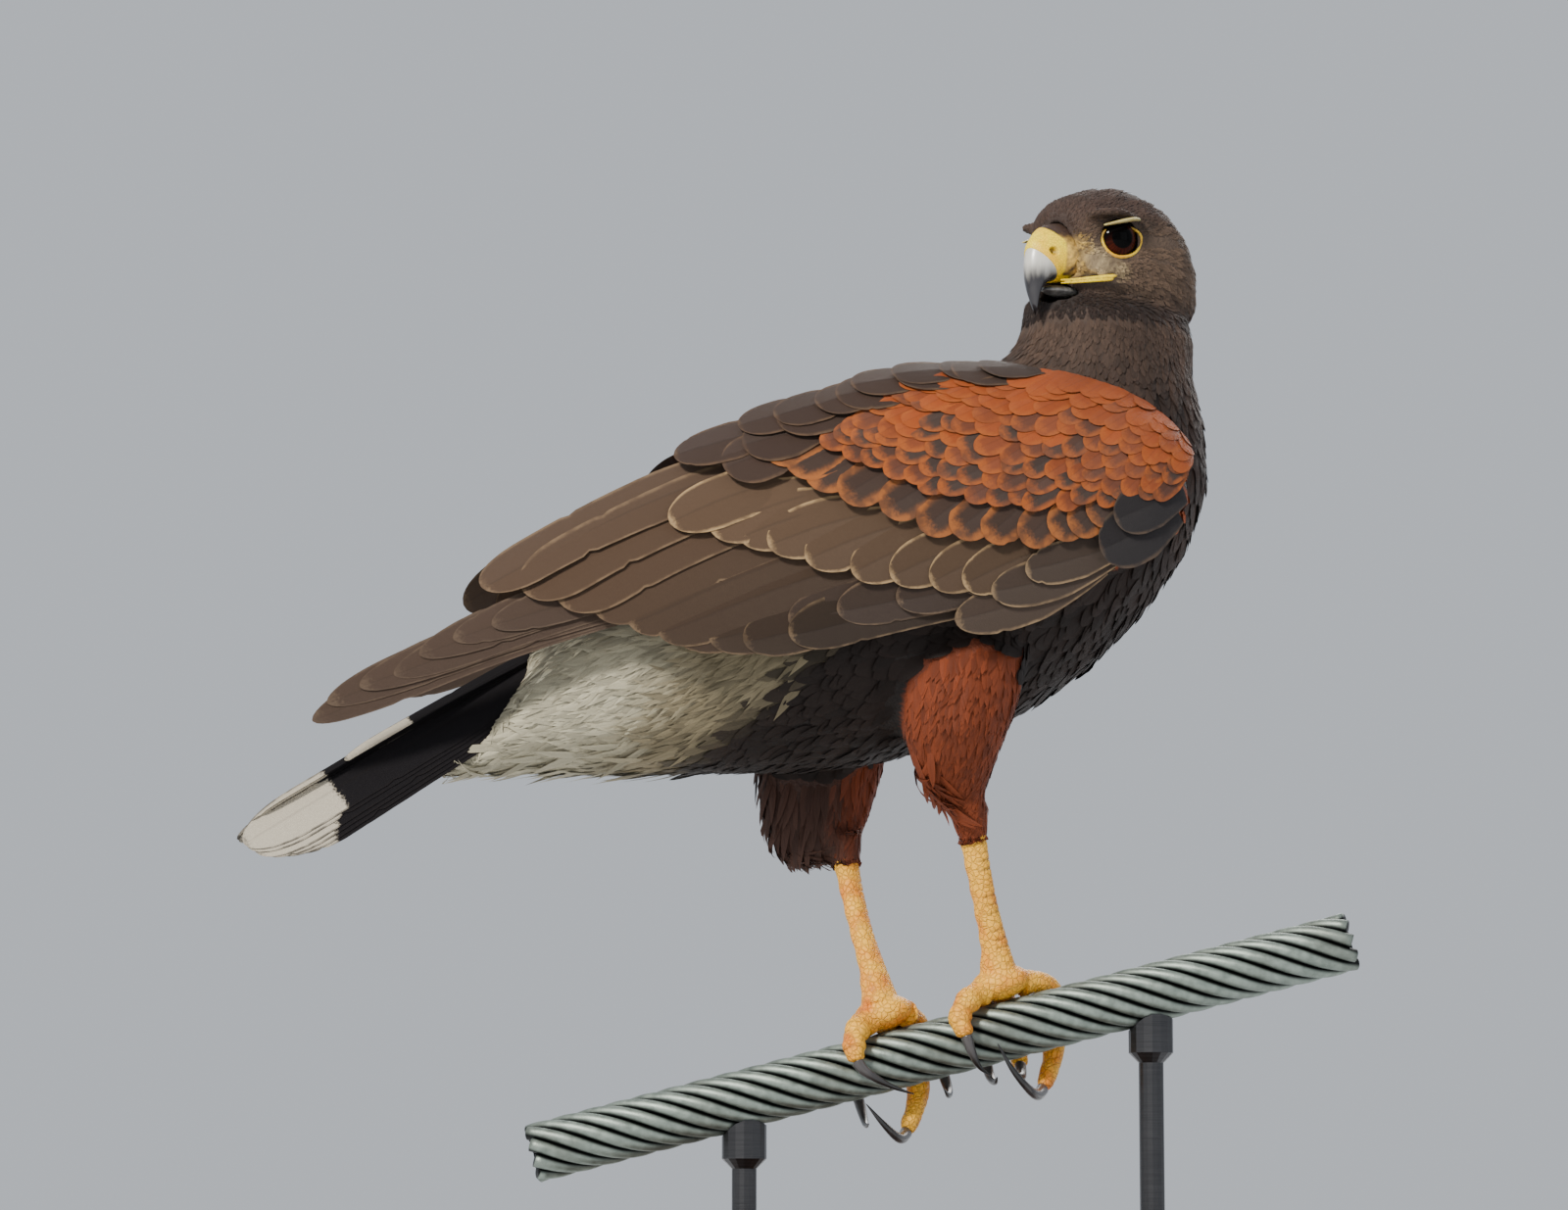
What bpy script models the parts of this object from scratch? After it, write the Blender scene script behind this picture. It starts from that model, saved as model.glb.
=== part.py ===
"""A life-size museum model of a Harris's hawk standing on a short length of steel cable.

The bird is modelled in its own frame, in millimetres: +X towards the chest, +Y to its left, +Z up,
with the origin on the cable's axis between the feet. An empty turns it to its stance over the base.
"""

import math

import bmesh
import bpy
import numpy as np
from mathutils import Matrix

MM = 0.001
FIT_GAP = 0.3
CUTTER_REACH = 300.0
SHARP_ANGLE = math.radians(38)

# Stand and perch
BASE_LENGTH = 250.0
BASE_WIDTH = 170.0
BASE_HEIGHT = 16.0
BASE_CORNER = 30.0
PERCH_HEIGHT = 122.0
PERCH_RADIUS = 12.0
PERCH_LENGTH = 340.0
PERCH_SLOPE = math.radians(14.5)
PERCH_SIDES = 24
ROD_RADIUS = 5.0
ROD_OFFSETS = (-80.0, 84.0)
SADDLE_RADIUS = 9.0
SADDLE_HEIGHT = 12.0
SADDLE_NECK = 4.0
FLANGE_RADIUS = 11.0
FLANGE_HEIGHT = 3.0
ROD_SIDES = 16
EDGE_CHAMFER = 2.0
PERCH_BEVEL = 0.93

# Stance of the bird over the perch
BODY_YAW = math.radians(12.0)

# Torso and neck: back point (x, z), belly point (x, z) and half width, from vent to throat
TRUNK = (
    ((-176, 152), (-178, 118), 15),
    ((-160, 166), (-162, 108), 23),
    ((-136, 182), (-138, 104), 31),
    ((-108, 203), (-106, 104), 38),
    ((-80, 227), (-70, 107), 45),
    ((-52, 250), (-32, 111), 50),
    ((-24, 265), (4, 121), 53),
    ((2, 274), (36, 134), 54),
    ((14, 279), (66, 155), 52),
    ((22, 283), (92, 183), 49),
    ((28, 288), (110, 212), 45),
    ((32, 294), (115.5, 243), 40),
    ((34, 300), (110, 270), 36),
    ((35, 306), (110.5, 288), 32),
    ((41, 311), (107, 302), 24),
)
TRUNK_SIDES = 18
TRUNK_RINGS = 17
NECK_CUT = ((28, 286), (114, 250))
HEAD_CUT_HEIGHT = 300.0

# Head, in its own frame: x along the bill, z up from the line through the eyes
HEAD_PLACE = (61.0, -5.0, 331.0)
HEAD_YAW = math.radians(-150.0)
HEAD_PITCH = math.radians(4.0)
HEAD = (
    ((-49, -9), (-50, -26), 12),
    ((-45, 5), (-47, -37), 21),
    ((-36, 16), (-39, -42), 26.5),
    ((-25, 23), (-27, -42), 29),
    ((-13, 26), (-13, -38), 28),
    ((-3, 25.5), (-3, -32), 25),
    ((6, 22.5), (6, -27), 23.5),
    ((13, 20), (13, -24), 21.5),
    ((18.5, 14), (18, -22), 16.5),
)
HEAD_SIDES = 18
HEAD_RINGS = 13
ORBIT_PLACE = (4.0, -1.0)
ORBIT_DEPTH = 0.2
LORE_PLACE = (17.0, -6.0)
LORE_DEPTH = 0.26
HOLLOW_SIZE = (10.0, 9.0)
EYE_PLACE = (1.0, 20.8, 0.0)
EYE_TURN = math.radians(20.0)
EYE_RADIUS = 9.6
EYE_SINK = 6.4
LID_RADIUS = 9.0
LID_THICK = 1.5
BROW = ((-10, 22.0, 7.0), (-1, 24.2, 9.2), (8, 24.0, 10.0), (15.5, 18.8, 9.6))
BROW_RADII = (2.0, 2.8, 3.0, 2.6)

# Bill: ridge point, cutting-edge point and half width, from the cere's back to the hook's tip
UPPER_BILL = (
    ((14.0, 8.0), (12.5, -16.0), 12.2),
    ((20.5, 7.4), (18.5, -16.2), 10.4),
    ((26.0, 5.6), (22.5, -16.4), 8.8),
    ((30.4, 1.8), (25.5, -17.2), 7.2),
    ((33.6, -4.4), (27.8, -18.8), 5.8),
    ((35.0, -11.6), (29.4, -20.8), 4.6),
    ((34.8, -19.0), (30.4, -23.6), 3.2),
    ((33.2, -26.0), (31.2, -28.0), 1.6),
)
BILL_TIP = (31.6, -31.2)
CERE_LENGTH = 26.0
LOWER_BILL = (
    ((9.0, -17.2), (8.0, -25.0), 9.0),
    ((17.0, -17.6), (16.0, -25.2), 7.8),
    ((22.0, -18.0), (21.5, -24.4), 6.2),
    ((25.6, -19.6), (25.2, -23.0), 4.0),
)
NOSTRIL = (25.0, -4.6, 2.2)
GAPE = ((19.5, 8.2, -13.8), (15.0, 13.2, -15.4), (9.0, 17.4, -16.4), (2.0, 20.8, -16.8), (-4.0, 22.6, -17.0))
GAPE_RADIUS = 1.7

# Folded wing: height of the back line, height of the widest line and half width, along the body
WING_X = (-262, -230, -190, -150, -110, -70, -30, 10, 50, 75, 92, 104)
WING_TOP = (142, 157, 184, 212, 238, 261, 276, 282, 278, 269, 256, 240)
WING_MID = (130, 140, 155, 168, 179, 190, 203, 214, 222, 223, 220, 214)
WING_HALF = (17, 24, 34, 45, 55, 62, 66, 68, 67, 63, 55, 40)
WING_TUCK = 0.0035
WING_ROUND = 2.3
WING_TOP_LIMIT = 0.985

# Arm and hand under the wing's feathers: heights of its lower and upper edge along the body
CORE_LOW = ((-92, 214), (-60, 201), (-15, 183), (20, 183), (50, 186), (75, 194), (92, 205), (101, 214))
CORE_HIGH = ((-92, 238), (-60, 255), (-20, 270), (20, 276), (50, 273), (75, 264), (92, 250), (101, 232))
CORE_RINGS = 9
CORE_LEVELS = 5
CORE_DEPTH = 2.8
CORE_BEVELS = (5.5, 3.0)
CORE_INSET = 32.0
CORE_INNER = 5.5

# Feather tiers of a wing: curves of tip and root places (x, z) on the wing, innermost feather first
PRIMARIES = {
    "tips": ((-257, 126), (-247, 135), (-228, 142), (-212, 154), (-190, 163)),
    "roots": ((-8, 194), (-12, 190), (-16, 196), (-22, 198), (-26, 192)),
    "count": 5, "width": (17, 17), "bow": (14, 8), "lift": (-0.6, -9.5), "rows": 6,
}
SECONDARIES = {
    "tips": ((-191, 181), (-171, 174), (-153, 167), (-134, 161), (-118, 157), (-101, 156), (-76, 161)),
    "roots": ((-62, 247), (-46, 233), (-28, 219), (-5, 206), (21, 196), (40, 190), (52, 188)),
    "count": 8, "width": (27, 23), "bow": (8, 2), "lift": (0.0, -6.0), "rows": 5,
}
GREATER_COVERTS = {
    "tips": ((-121, 203), (-99, 197), (-83, 192), (-54, 184), (-29, 180), (-6, 179)),
    "roots": ((-70, 224), (-50, 215), (-32, 209), (-8, 204), (16, 199), (36, 198)),
    "count": 6, "width": (26, 24), "bow": (2, 1), "lift": (0.4, -4.2), "rows": 4,
}
MEDIAN_COVERTS = {
    "tips": (
        (-82, 229), (-73, 222), (-60, 215), (-38, 206), (-18, 200),
        (0, 199), (20, 196), (34, 200), (45, 206),
    ),
    "roots": (
        (-60, 242), (-50, 235), (-37, 229), (-16, 221), (3, 216),
        (19, 216), (37, 214), (50, 216), (58, 220),
    ),
    "count": 6, "width": (23, 22), "bow": (0, 0), "lift": (0.7, -3.6), "rows": 4,
}
LESSER_COVERTS = {
    "tips": ((-60, 240), (-36, 230), (-10, 223), (16, 222), (42, 224), (66, 224), (84, 216)),
    "roots": ((-32, 252), (-8, 246), (18, 242), (44, 242), (66, 240), (84, 234), (94, 222)),
    "count": 5, "width": (31, 27), "bow": (0, 0), "lift": (1.2, -3.0), "rows": 4,
}
PRIMARY_COVERTS = {
    "tips": ((-10, 167), (6, 178), (22, 187)),
    "roots": ((52, 190), (57, 193), (62, 198)),
    "count": 3, "width": (17, 15), "bow": (-3, -1), "lift": (0.6, -3.6), "rows": 4,
}
ALULA = {
    "tips": ((49, 199), (50, 206)),
    "roots": ((86, 216), (88, 222)),
    "count": 2, "width": (22, 17), "bow": (-1, 0), "lift": (2.2, -2.4), "rows": 4,
}
SCAPULARS = {
    "tips": ((-116, 231), (-98, 226), (-88, 240), (-62, 252), (-34, 263), (-6, 269)),
    "roots": ((-76, 246), (-66, 240), (-54, 250), (-28, 262), (0, 269), (28, 272)),
    "count": 5, "width": (29, 29), "bow": (0, 0), "lift": (2.2, -2.6), "rows": 4,
}
TILT = 0.13
VANE_THICK = 0.9
VANE_LEAST = 2.0
VANE_END = 0.985
FAR_WING_TUCK = 40.0

# Tail
TAIL_BASE = (-122.0, 0.0, 180.0)
TAIL_TIP = (-287.0, 0.0, 84.0)
TAIL_PAIRS = 6
TAIL_WIDTH = 34.0
TAIL_ROLL = math.radians(20.0)
TAIL_SPREAD = 9.0
TAIL_ROOF = 3.0
TAIL_GRADE = 13.0
TAIL_STEP = 1.25
TAIL_POINT = 0.86
TAIL_COVERTS = ((-14, 8.5), (20, 9.5), (46, 9.5), (66, 8.0), (84, 5.5))

# Undertail coverts, from the vent to the tail's middle: tip and root (x, z) and share of the half width
VENT_TIPS = ((-212, 107), (-203, 103), (-188, 101), (-168, 100), (-146, 99), (-124, 99))
VENT_ROOTS = ((-160, 124), (-150, 118), (-136, 113), (-118, 110), (-98, 108), (-78, 109))
VENT_WIDTH = 20.0
VENT_ROWS = 5
VENT_SPREAD = (12.0, 5.2)
VENT_BULGE = 4.0

# Legs: thigh rings as front point, back point (x, z), half width and sideways place, from hip to heel
NEAR_THIGH = (
    ((30, 172), (-30, 166), 17, -30),
    ((30, 154), (-30, 148), 19, -35),
    ((26, 136), (-28, 130), 18, -34),
    ((20.5, 120), (-24, 115), 15.5, -30),
    ((16.5, 107), (-15, 103), 12, -25),
    ((14.5, 97), (-6, 95), 8.5, -21),
    ((13.2, 88), (0.0, 86), 6.2, -17.5),
)
FAR_THIGH = (
    ((2, 168), (-62, 166), 17, 30),
    ((-4, 148), (-68, 146), 19, 36),
    ((-9, 130), (-71, 128), 19, 37),
    ((-14, 114), (-72, 109), 17, 34),
    ((-19, 99), (-68, 91), 14, 31),
    ((-24, 88), (-57, 79), 9.5, 27),
    ((-28.5, 78), (-43, 73), 6.4, 24),
)
THIGH_SIDES = 12
THIGH_RINGS = 8
NEAR_SHANK = ((7.4, -17.6, 92), (10.4, -15.4, 76), (15.4, -11.4, 56), (20.0, -7.6, 40), (22.4, -5.4, 27))
FAR_SHANK = ((-35.5, 24.0, 84), (-33.6, 21.0, 68), (-30.4, 14.6, 48), (-27.0, 8.8, 32), (-24.4, 4.8, 17))
SHANK_RADII = (6.0, 5.0, 4.8, 5.5, 7.4)
SHANK_SIDES = 10
SHANK_STEPS = 6
SHANK_FLAT = 0.86
PAD_RADII = (10.5, 8.4, 7.0)

# Toes round the cable: turn from the cable's top (degrees, + to the far side), distance from its axis
# and shift along it, for each foot
TOE_RADIUS = 3.9
CLAW_RADIUS = 2.5
TOES = {
    "right": {
        "outer": (
            ((8, 17.4, 8.4), (26, 17.2, 16), (60, 17.0, 20), (100, 17.2, 18), (140, 21, 13), (166, 27, 6)),
            ((166, 27, 6), (196, 28, 1), (226, 23, -5), (254, 18.5, -8)),
        ),
        "middle": (
            ((20, 17.4, 0), (62, 17.0, 1), (104, 17.0, 1), (146, 17.6, 0)),
            ((146, 17.6, 0), (170, 19.2, -1), (192, 18.8, -3), (210, 17.2, -4)),
        ),
        "inner": (
            ((8, 17.4, -8.6), (48, 17.2, -10), (90, 17.0, -12), (130, 17.4, -13)),
            ((130, 17.4, -13), (152, 18.8, -13), (172, 18.8, -12), (188, 17.4, -11)),
        ),
        "hind": (
            ((-14, 18.0, -8), (-36, 18.6, -15), (-60, 18.2, -20), (-86, 17.4, -19.5)),
            ((-86, 17.4, -19.5), (-106, 18.0, -19), (-128, 18.6, -17.5), (-146, 19.2, -14)),
        ),
    },
    "left": {
        "outer": (
            ((8, 17.4, -8.6), (44, 17.2, -13), (86, 17.0, -16), (128, 17.6, -18)),
            ((128, 17.6, -18), (156, 20, -18), (178, 22.5, -18), (194, 23, -17)),
        ),
        "middle": (
            ((20, 17.4, 0), (62, 17.0, 4), (104, 17.6, 8), (142, 22, 5), (168, 30, -3)),
            ((168, 30, -3), (190, 31, -7), (208, 26, -12), (222, 20, -16)),
        ),
        "inner": (
            ((8, 17.4, 8.6), (44, 17.2, 12), (88, 17.0, 16), (130, 17.6, 18)),
            ((130, 17.6, 18), (154, 19.2, 18), (176, 19, 17), (194, 17.4, 16)),
        ),
        "hind": (
            ((-14, 18.0, -7), (-36, 18.4, -12), (-60, 18.0, -15), (-82, 17.4, -15.5)),
            ((-82, 17.4, -15.5), (-98, 17.8, -13), (-120, 18.6, -6), (-142, 19.4, 3)),
        ),
    },
}
TOE_SIDES = 6
TOE_STEPS = 7
TOE_TAPER = (1.06, 0.24)
CLAW_SIDES = 5
CLAW_STEPS = 6
CLAW_TAPER = 0.86


def clear_scene():
    """Removes the objects that a new Blender file starts with."""
    for found in list(bpy.data.objects):
        bpy.data.objects.remove(found)


def paint(name, colour, roughness, metallic=0.0):
    """A plain material."""
    made = bpy.data.materials.new(name)
    made.use_nodes = True
    shader = made.node_tree.nodes["Principled BSDF"]
    shader.inputs["Base Color"].default_value = (*colour, 1.0)
    shader.inputs["Roughness"].default_value = roughness
    shader.inputs["Metallic"].default_value = metallic
    made.diffuse_color = (*colour, 1.0)
    return made


def solid(name, points, faces):
    """An object in metres from points in millimetres, its faces pointing out."""
    mesh = bpy.data.meshes.new(name)
    mesh.from_pydata([tuple(MM * float(c) for c in p) for p in points], [], [tuple(f) for f in faces])
    shape = bmesh.new()
    shape.from_mesh(mesh)
    bmesh.ops.recalc_face_normals(shape, faces=shape.faces)
    shape.to_mesh(mesh)
    shape.free()
    made = bpy.data.objects.new(name, mesh)
    bpy.context.scene.collection.objects.link(made)
    return made


def smooth_steps(knots, count):
    """Points on a smooth curve through the knots, evenly spread by knot number."""
    knots = np.asarray(knots, float)
    if len(knots) == 1:
        return np.repeat(knots, count, axis=0)
    slopes = np.gradient(knots, axis=0)
    where = np.linspace(0, len(knots) - 1, count)
    first = np.minimum(where.astype(int), len(knots) - 2)
    t = (where - first)[:, None] if knots.ndim == 2 else where - first
    a, b, da, db = knots[first], knots[first + 1], slopes[first], slopes[first + 1]
    leave = (2 * t**3 - 3 * t**2 + 1) * a + (t**3 - 2 * t**2 + t) * da
    return leave + (3 * t**2 - 2 * t**3) * b + (t**3 - t**2) * db


def along(xs, ys, x):
    """A smooth curve through (xs, ys), read at x."""
    xs, ys = np.asarray(xs, float), np.asarray(ys, float)
    slopes = np.gradient(ys, xs)
    i = int(np.clip(np.searchsorted(xs, x) - 1, 0, len(xs) - 2))
    h = xs[i + 1] - xs[i]
    t = min(max((x - xs[i]) / h, 0.0), 1.0)
    return float(
        (2 * t**3 - 3 * t**2 + 1) * ys[i] + (t**3 - 2 * t**2 + t) * h * slopes[i]
        + (3 * t**2 - 2 * t**3) * ys[i + 1] + (t**3 - t**2) * h * slopes[i + 1]
    )


def loft(name, rings, start, end):
    """A closed solid through rings of like points, with a point beyond each end."""
    count = len(rings[0])
    points = [p for ring in rings for p in ring] + [start, end]
    faces = []
    for r in range(len(rings) - 1):
        for i in range(count):
            j = (i + 1) % count
            a, b, c, d = r * count + i, r * count + j, (r + 1) * count + j, (r + 1) * count + i
            faces += [(a, b, c), (a, c, d)] if i < count / 2 else [(a, b, d), (b, c, d)]
    last = (len(rings) - 1) * count
    for i in range(count):
        j = (i + 1) % count
        faces.append((j, i, len(points) - 2))
        faces.append((last + i, last + j, len(points) - 1))
    return solid(name, points, faces)


def upright_rings(stations, sides, rings, grow=0.0, square=1.0):
    """Rings that stand across the body, from (top, bottom, half width[, sideways place]) stations."""
    rows = [(*s[0], *s[1], s[2], s[3] if len(s) > 3 else 0.0) for s in stations]
    made = []
    for tx, tz, bx, bz, half, side in smooth_steps(rows, rings):
        top, bottom = np.array([tx, side, tz]), np.array([bx, side, bz])
        centre, reach = (top + bottom) / 2, (top - bottom) / 2
        reach = reach * (1 + grow / np.linalg.norm(reach))
        turn = np.linspace(0, 2 * math.pi, sides, endpoint=False)
        up = np.sign(np.cos(turn)) * np.abs(np.cos(turn)) ** square
        out = np.sign(np.sin(turn)) * np.abs(np.sin(turn)) ** square
        made.append(centre + up[:, None] * reach + out[:, None] * np.array([0, half + grow, 0]))
    return made


def body_loft(name, stations, sides, rings, grow=0.0, ends=(4.0, 4.0), square=1.0):
    """A rounded solid through upright rings, its ends bulging out by the given depths."""
    made = upright_rings(stations, sides, rings, grow, square)
    caps = []
    for ring, inner, depth in ((made[0], made[1], ends[0]), (made[-1], made[-2], ends[1])):
        centre = ring.mean(axis=0)
        away = centre - inner.mean(axis=0)
        caps.append(centre + away / np.linalg.norm(away) * (depth + grow))
    return loft(name, made, caps[0], caps[1])


def tube(name, path, radii, sides, flat=1.0, tip=None):
    """A round limb along a path, with flat as its width against its height."""
    path = np.asarray(path, float)
    rings = []
    across = None
    for i, place in enumerate(path):
        ahead = path[min(i + 1, len(path) - 1)] - path[max(i - 1, 0)]
        ahead = ahead / np.linalg.norm(ahead)
        if across is None:
            across = np.cross(ahead, [0.0, 0.0, 1.0] if abs(ahead[2]) < 0.9 else [1.0, 0.0, 0.0])
        across = across - ahead * (across @ ahead)
        across = across / np.linalg.norm(across)
        over = np.cross(across, ahead)
        turn = np.linspace(0, 2 * math.pi, sides, endpoint=False)[:, None]
        rings.append(place + radii[i] * (np.cos(turn) * over + flat * np.sin(turn) * across))
    ends = []
    for ring, inner, radius in ((rings[0], rings[1], radii[0]), (rings[-1], rings[-2], radii[-1])):
        away = ring.mean(axis=0) - inner.mean(axis=0)
        ends.append(ring.mean(axis=0) + away / np.linalg.norm(away) * radius * 0.6)
    if tip is not None:
        ends[1] = np.asarray(tip, float)
    return loft(name, rings, ends[0], ends[1])


def combine(target, operation, others, solver="EXACT"):
    """Applies one Boolean with a collection of closed objects, then removes them."""
    bin_ = bpy.data.collections.new("cutters")
    bpy.context.scene.collection.children.link(bin_)
    for other in others:
        bpy.context.scene.collection.objects.unlink(other)
        bin_.objects.link(other)
    step = target.modifiers.new("join", "BOOLEAN")
    step.operation = operation
    step.operand_type = "COLLECTION"
    step.collection = bin_
    step.solver = solver
    graph = bpy.context.evaluated_depsgraph_get()
    mesh = bpy.data.meshes.new_from_object(target.evaluated_get(graph))
    target.modifiers.clear()
    old, target.data = target.data, mesh
    bpy.data.meshes.remove(old)
    for other in others:
        bpy.data.objects.remove(other)
    bpy.data.collections.remove(bin_)
    keep_largest(target)
    return target


def keep_largest(target):
    """Keeps the largest closed surface of a mesh and drops loose scraps and sealed hollows."""
    shape = bmesh.new()
    shape.from_mesh(target.data)
    left, groups = set(shape.faces), []
    while left:
        queue = [left.pop()]
        group = []
        while queue:
            face = queue.pop()
            group.append(face)
            for edge in face.edges:
                for other in edge.link_faces:
                    if other in left:
                        left.remove(other)
                        queue.append(other)
        groups.append(group)

    def volume(group):
        total = 0.0
        for face in group:
            corners = [v.co for v in face.verts]
            for b, c in zip(corners[1:-1], corners[2:]):
                total += corners[0].dot(b.cross(c))
        return total

    best = max(groups, key=volume)
    scraps = [face for group in groups if group is not best for face in group]
    bmesh.ops.delete(shape, geom=scraps, context="FACES")
    shape.to_mesh(target.data)
    shape.free()


# Trunk


def trunk_loft(name, grow=0.0):
    """The torso and neck as one body."""
    return body_loft(name, TRUNK, TRUNK_SIDES, TRUNK_RINGS, grow, ends=(6.0, 6.0))


def keep_side(target, front, back, above):
    """Keeps what lies above or below a line across the body, less half the fitting gap."""
    a, b = np.array([front[0], 0, front[1]], float), np.array([back[0], 0, back[1]], float)
    ahead = (b - a) / np.linalg.norm(b - a)
    normal = np.cross([0.0, 1.0, 0.0], ahead)
    normal = normal if normal[2] > 0 else -normal
    normal = -normal if above else normal
    low = FIT_GAP / 2 * normal
    a, b = a - ahead * CUTTER_REACH, b + ahead * CUTTER_REACH
    side = np.array([0.0, CUTTER_REACH, 0.0])
    points = [e + s * side + n for e in (a, b) for s in (-1, 1) for n in (-low, normal * 2 * CUTTER_REACH)]
    faces = ((0, 1, 3, 2), (4, 6, 7, 5), (0, 4, 5, 1), (2, 3, 7, 6), (0, 2, 6, 4), (1, 5, 7, 3))
    return combine(target, "DIFFERENCE", [solid("half", points, faces)])


# Head


def placed_on_head(made):
    """Moves an object that was made in the head's frame into the bird's frame."""
    turn = Matrix.Rotation(HEAD_YAW, 4, "Z") @ Matrix.Rotation(HEAD_PITCH, 4, "Y")
    made.data.transform(Matrix.Translation([MM * c for c in HEAD_PLACE]) @ turn)
    return made


def head_loft(name, grow=0.0):
    """The feathered head, pinched in front of the eyes."""
    rings = upright_rings(HEAD, HEAD_SIDES, HEAD_RINGS, grow, square=0.88)
    for ring in rings:
        for place, depth in ((ORBIT_PLACE, ORBIT_DEPTH), (LORE_PLACE, LORE_DEPTH)):
            ahead, above = (ring[:, 0] - place[0]) / HOLLOW_SIZE[0], (ring[:, 2] - place[1]) / HOLLOW_SIZE[1]
            ring[:, 1] *= 1 - depth * np.exp(-(ahead**2 + above**2))
    back = rings[0].mean(axis=0) + np.array([-3.0 - grow, 0, 0])
    front = rings[-1].mean(axis=0) + np.array([2.0, 0, 0])
    return placed_on_head(loft(name, rings, back, front))


def ball(name, centre, radius, rings=7, sides=12, pole=(0.0, 1.0, 0.0)):
    """A sphere whose poles lie along the given direction."""
    pole = np.asarray(pole, float)
    across = np.cross(pole, [1.0, 0.0, 0.0])
    across = across / np.linalg.norm(across)
    over = np.cross(across, pole)
    turn = np.linspace(0, 2 * math.pi, sides, endpoint=False)[:, None]
    rows = []
    for k in range(1, rings):
        angle = math.pi * k / rings
        rows.append(np.asarray(centre) + radius * (
            -math.cos(angle) * pole + math.sin(angle) * (np.cos(turn) * over + np.sin(turn) * across)))
    return loft(name, rows, np.asarray(centre) - radius * pole, np.asarray(centre) + radius * pole)


def eye_axes(side):
    """An eye's middle and its directions out of the head, forward along the lids and up."""
    out = np.array([math.sin(EYE_TURN), side * math.cos(EYE_TURN), 0.0])
    along_lid = np.array([math.cos(EYE_TURN), -side * math.sin(EYE_TURN), 0.0])
    place = np.array([EYE_PLACE[0], side * EYE_PLACE[1], EYE_PLACE[2]])
    return place, out, along_lid, np.array([0.0, 0.0, 1.0])


def eyeball(name, side, grow=0.0):
    """An eyeball, sunk so that the lids frame its outer cap."""
    place, out, _, _ = eye_axes(side)
    return placed_on_head(ball(name, place - out * EYE_SINK, EYE_RADIUS + grow, pole=out))


def lid_ring(name, side):
    """The raised rim round an eye."""
    place, out, along_lid, up = eye_axes(side)
    rings = []
    for a in np.linspace(0, 2 * math.pi, 12, endpoint=False):
        outward = math.cos(a) * along_lid + math.sin(a) * 0.88 * up
        centre = place + LID_RADIUS * outward - out * 0.8 * math.cos(a) ** 2
        around = np.linspace(0, 2 * math.pi, 5, endpoint=False)[:, None]
        rings.append(centre + LID_THICK * (np.cos(around) * outward + np.sin(around) * out))
    count = len(rings[0])
    points = [p for ring in rings for p in ring]
    faces = []
    for r in range(len(rings)):
        s = (r + 1) % len(rings)
        for i in range(count):
            j = (i + 1) % count
            faces.append((r * count + i, r * count + j, s * count + j, s * count + i))
    return placed_on_head(solid(name, points, faces))


def brow(name, side):
    """The bony ridge that overhangs an eye."""
    path = [(x, side * y, z) for x, y, z in BROW]
    steps = smooth_steps(path, 6)
    radii = smooth_steps(np.array(BROW_RADII, float)[:, None], 6)[:, 0]
    return placed_on_head(tube(name, steps, radii, 6))


def bill_rings(stations, sides, rings, grow=0.0):
    """Rings of a bill half, wide below and narrow along the ridge."""
    rows = [(*s[0], *s[1], s[2]) for s in stations]
    made = []
    for tx, tz, bx, bz, half in smooth_steps(rows, rings):
        top, bottom = np.array([tx, 0, tz]), np.array([bx, 0, bz])
        centre, reach = (top + bottom) / 2, (top - bottom) / 2
        reach = reach * (1 + grow / np.linalg.norm(reach))
        turn = np.linspace(0, 2 * math.pi, sides, endpoint=False)[:, None]
        wide = (half + grow) * (1 - 0.22 * np.cos(turn))
        made.append(centre + np.cos(turn) * reach + np.sin(turn) * wide * np.array([0, 1, 0]))
    return made


def upper_bill(name, grow=0.0):
    """The cere and the hooked upper bill as one form."""
    rings = bill_rings(UPPER_BILL, 14, 13, grow)
    start = rings[0].mean(axis=0) + np.array([-3.0, 0, 0])
    end = np.array([BILL_TIP[0], 0, BILL_TIP[1] - grow])
    return placed_on_head(loft(name, rings, start, end))


def lower_bill(name, grow=0.0):
    """The lower bill."""
    rings = bill_rings(LOWER_BILL, 12, 6, grow)
    start = rings[0].mean(axis=0) + np.array([-3.0, 0, 0])
    end = rings[-1].mean(axis=0) + np.array([1.6 + grow, 0, -0.4])
    return placed_on_head(loft(name, rings, start, end))


def gape(name, side, grow=0.0):
    """The fleshy edge of the mouth, from the bill back below the eye."""
    path = smooth_steps([(x, side * y, z) for x, y, z in GAPE], 6)
    return placed_on_head(tube(name, path, [GAPE_RADIUS + grow] * 5 + [GAPE_RADIUS * 0.7 + grow], 6))


def head_half(name, low, high):
    """A cutter that spans the head's frame between two planes across the bill's slant."""
    tilt = 3.5
    points = [
        (x + (tilt if z < 0 else -tilt) * 0.5, y, z)
        for x in (low, high) for y in (-60, 60) for z in (-60, 60)
    ]
    faces = ((0, 1, 3, 2), (4, 6, 7, 5), (0, 4, 5, 1), (2, 3, 7, 6), (0, 2, 6, 4), (1, 5, 7, 3))
    return placed_on_head(solid(name, points, faces))


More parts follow.
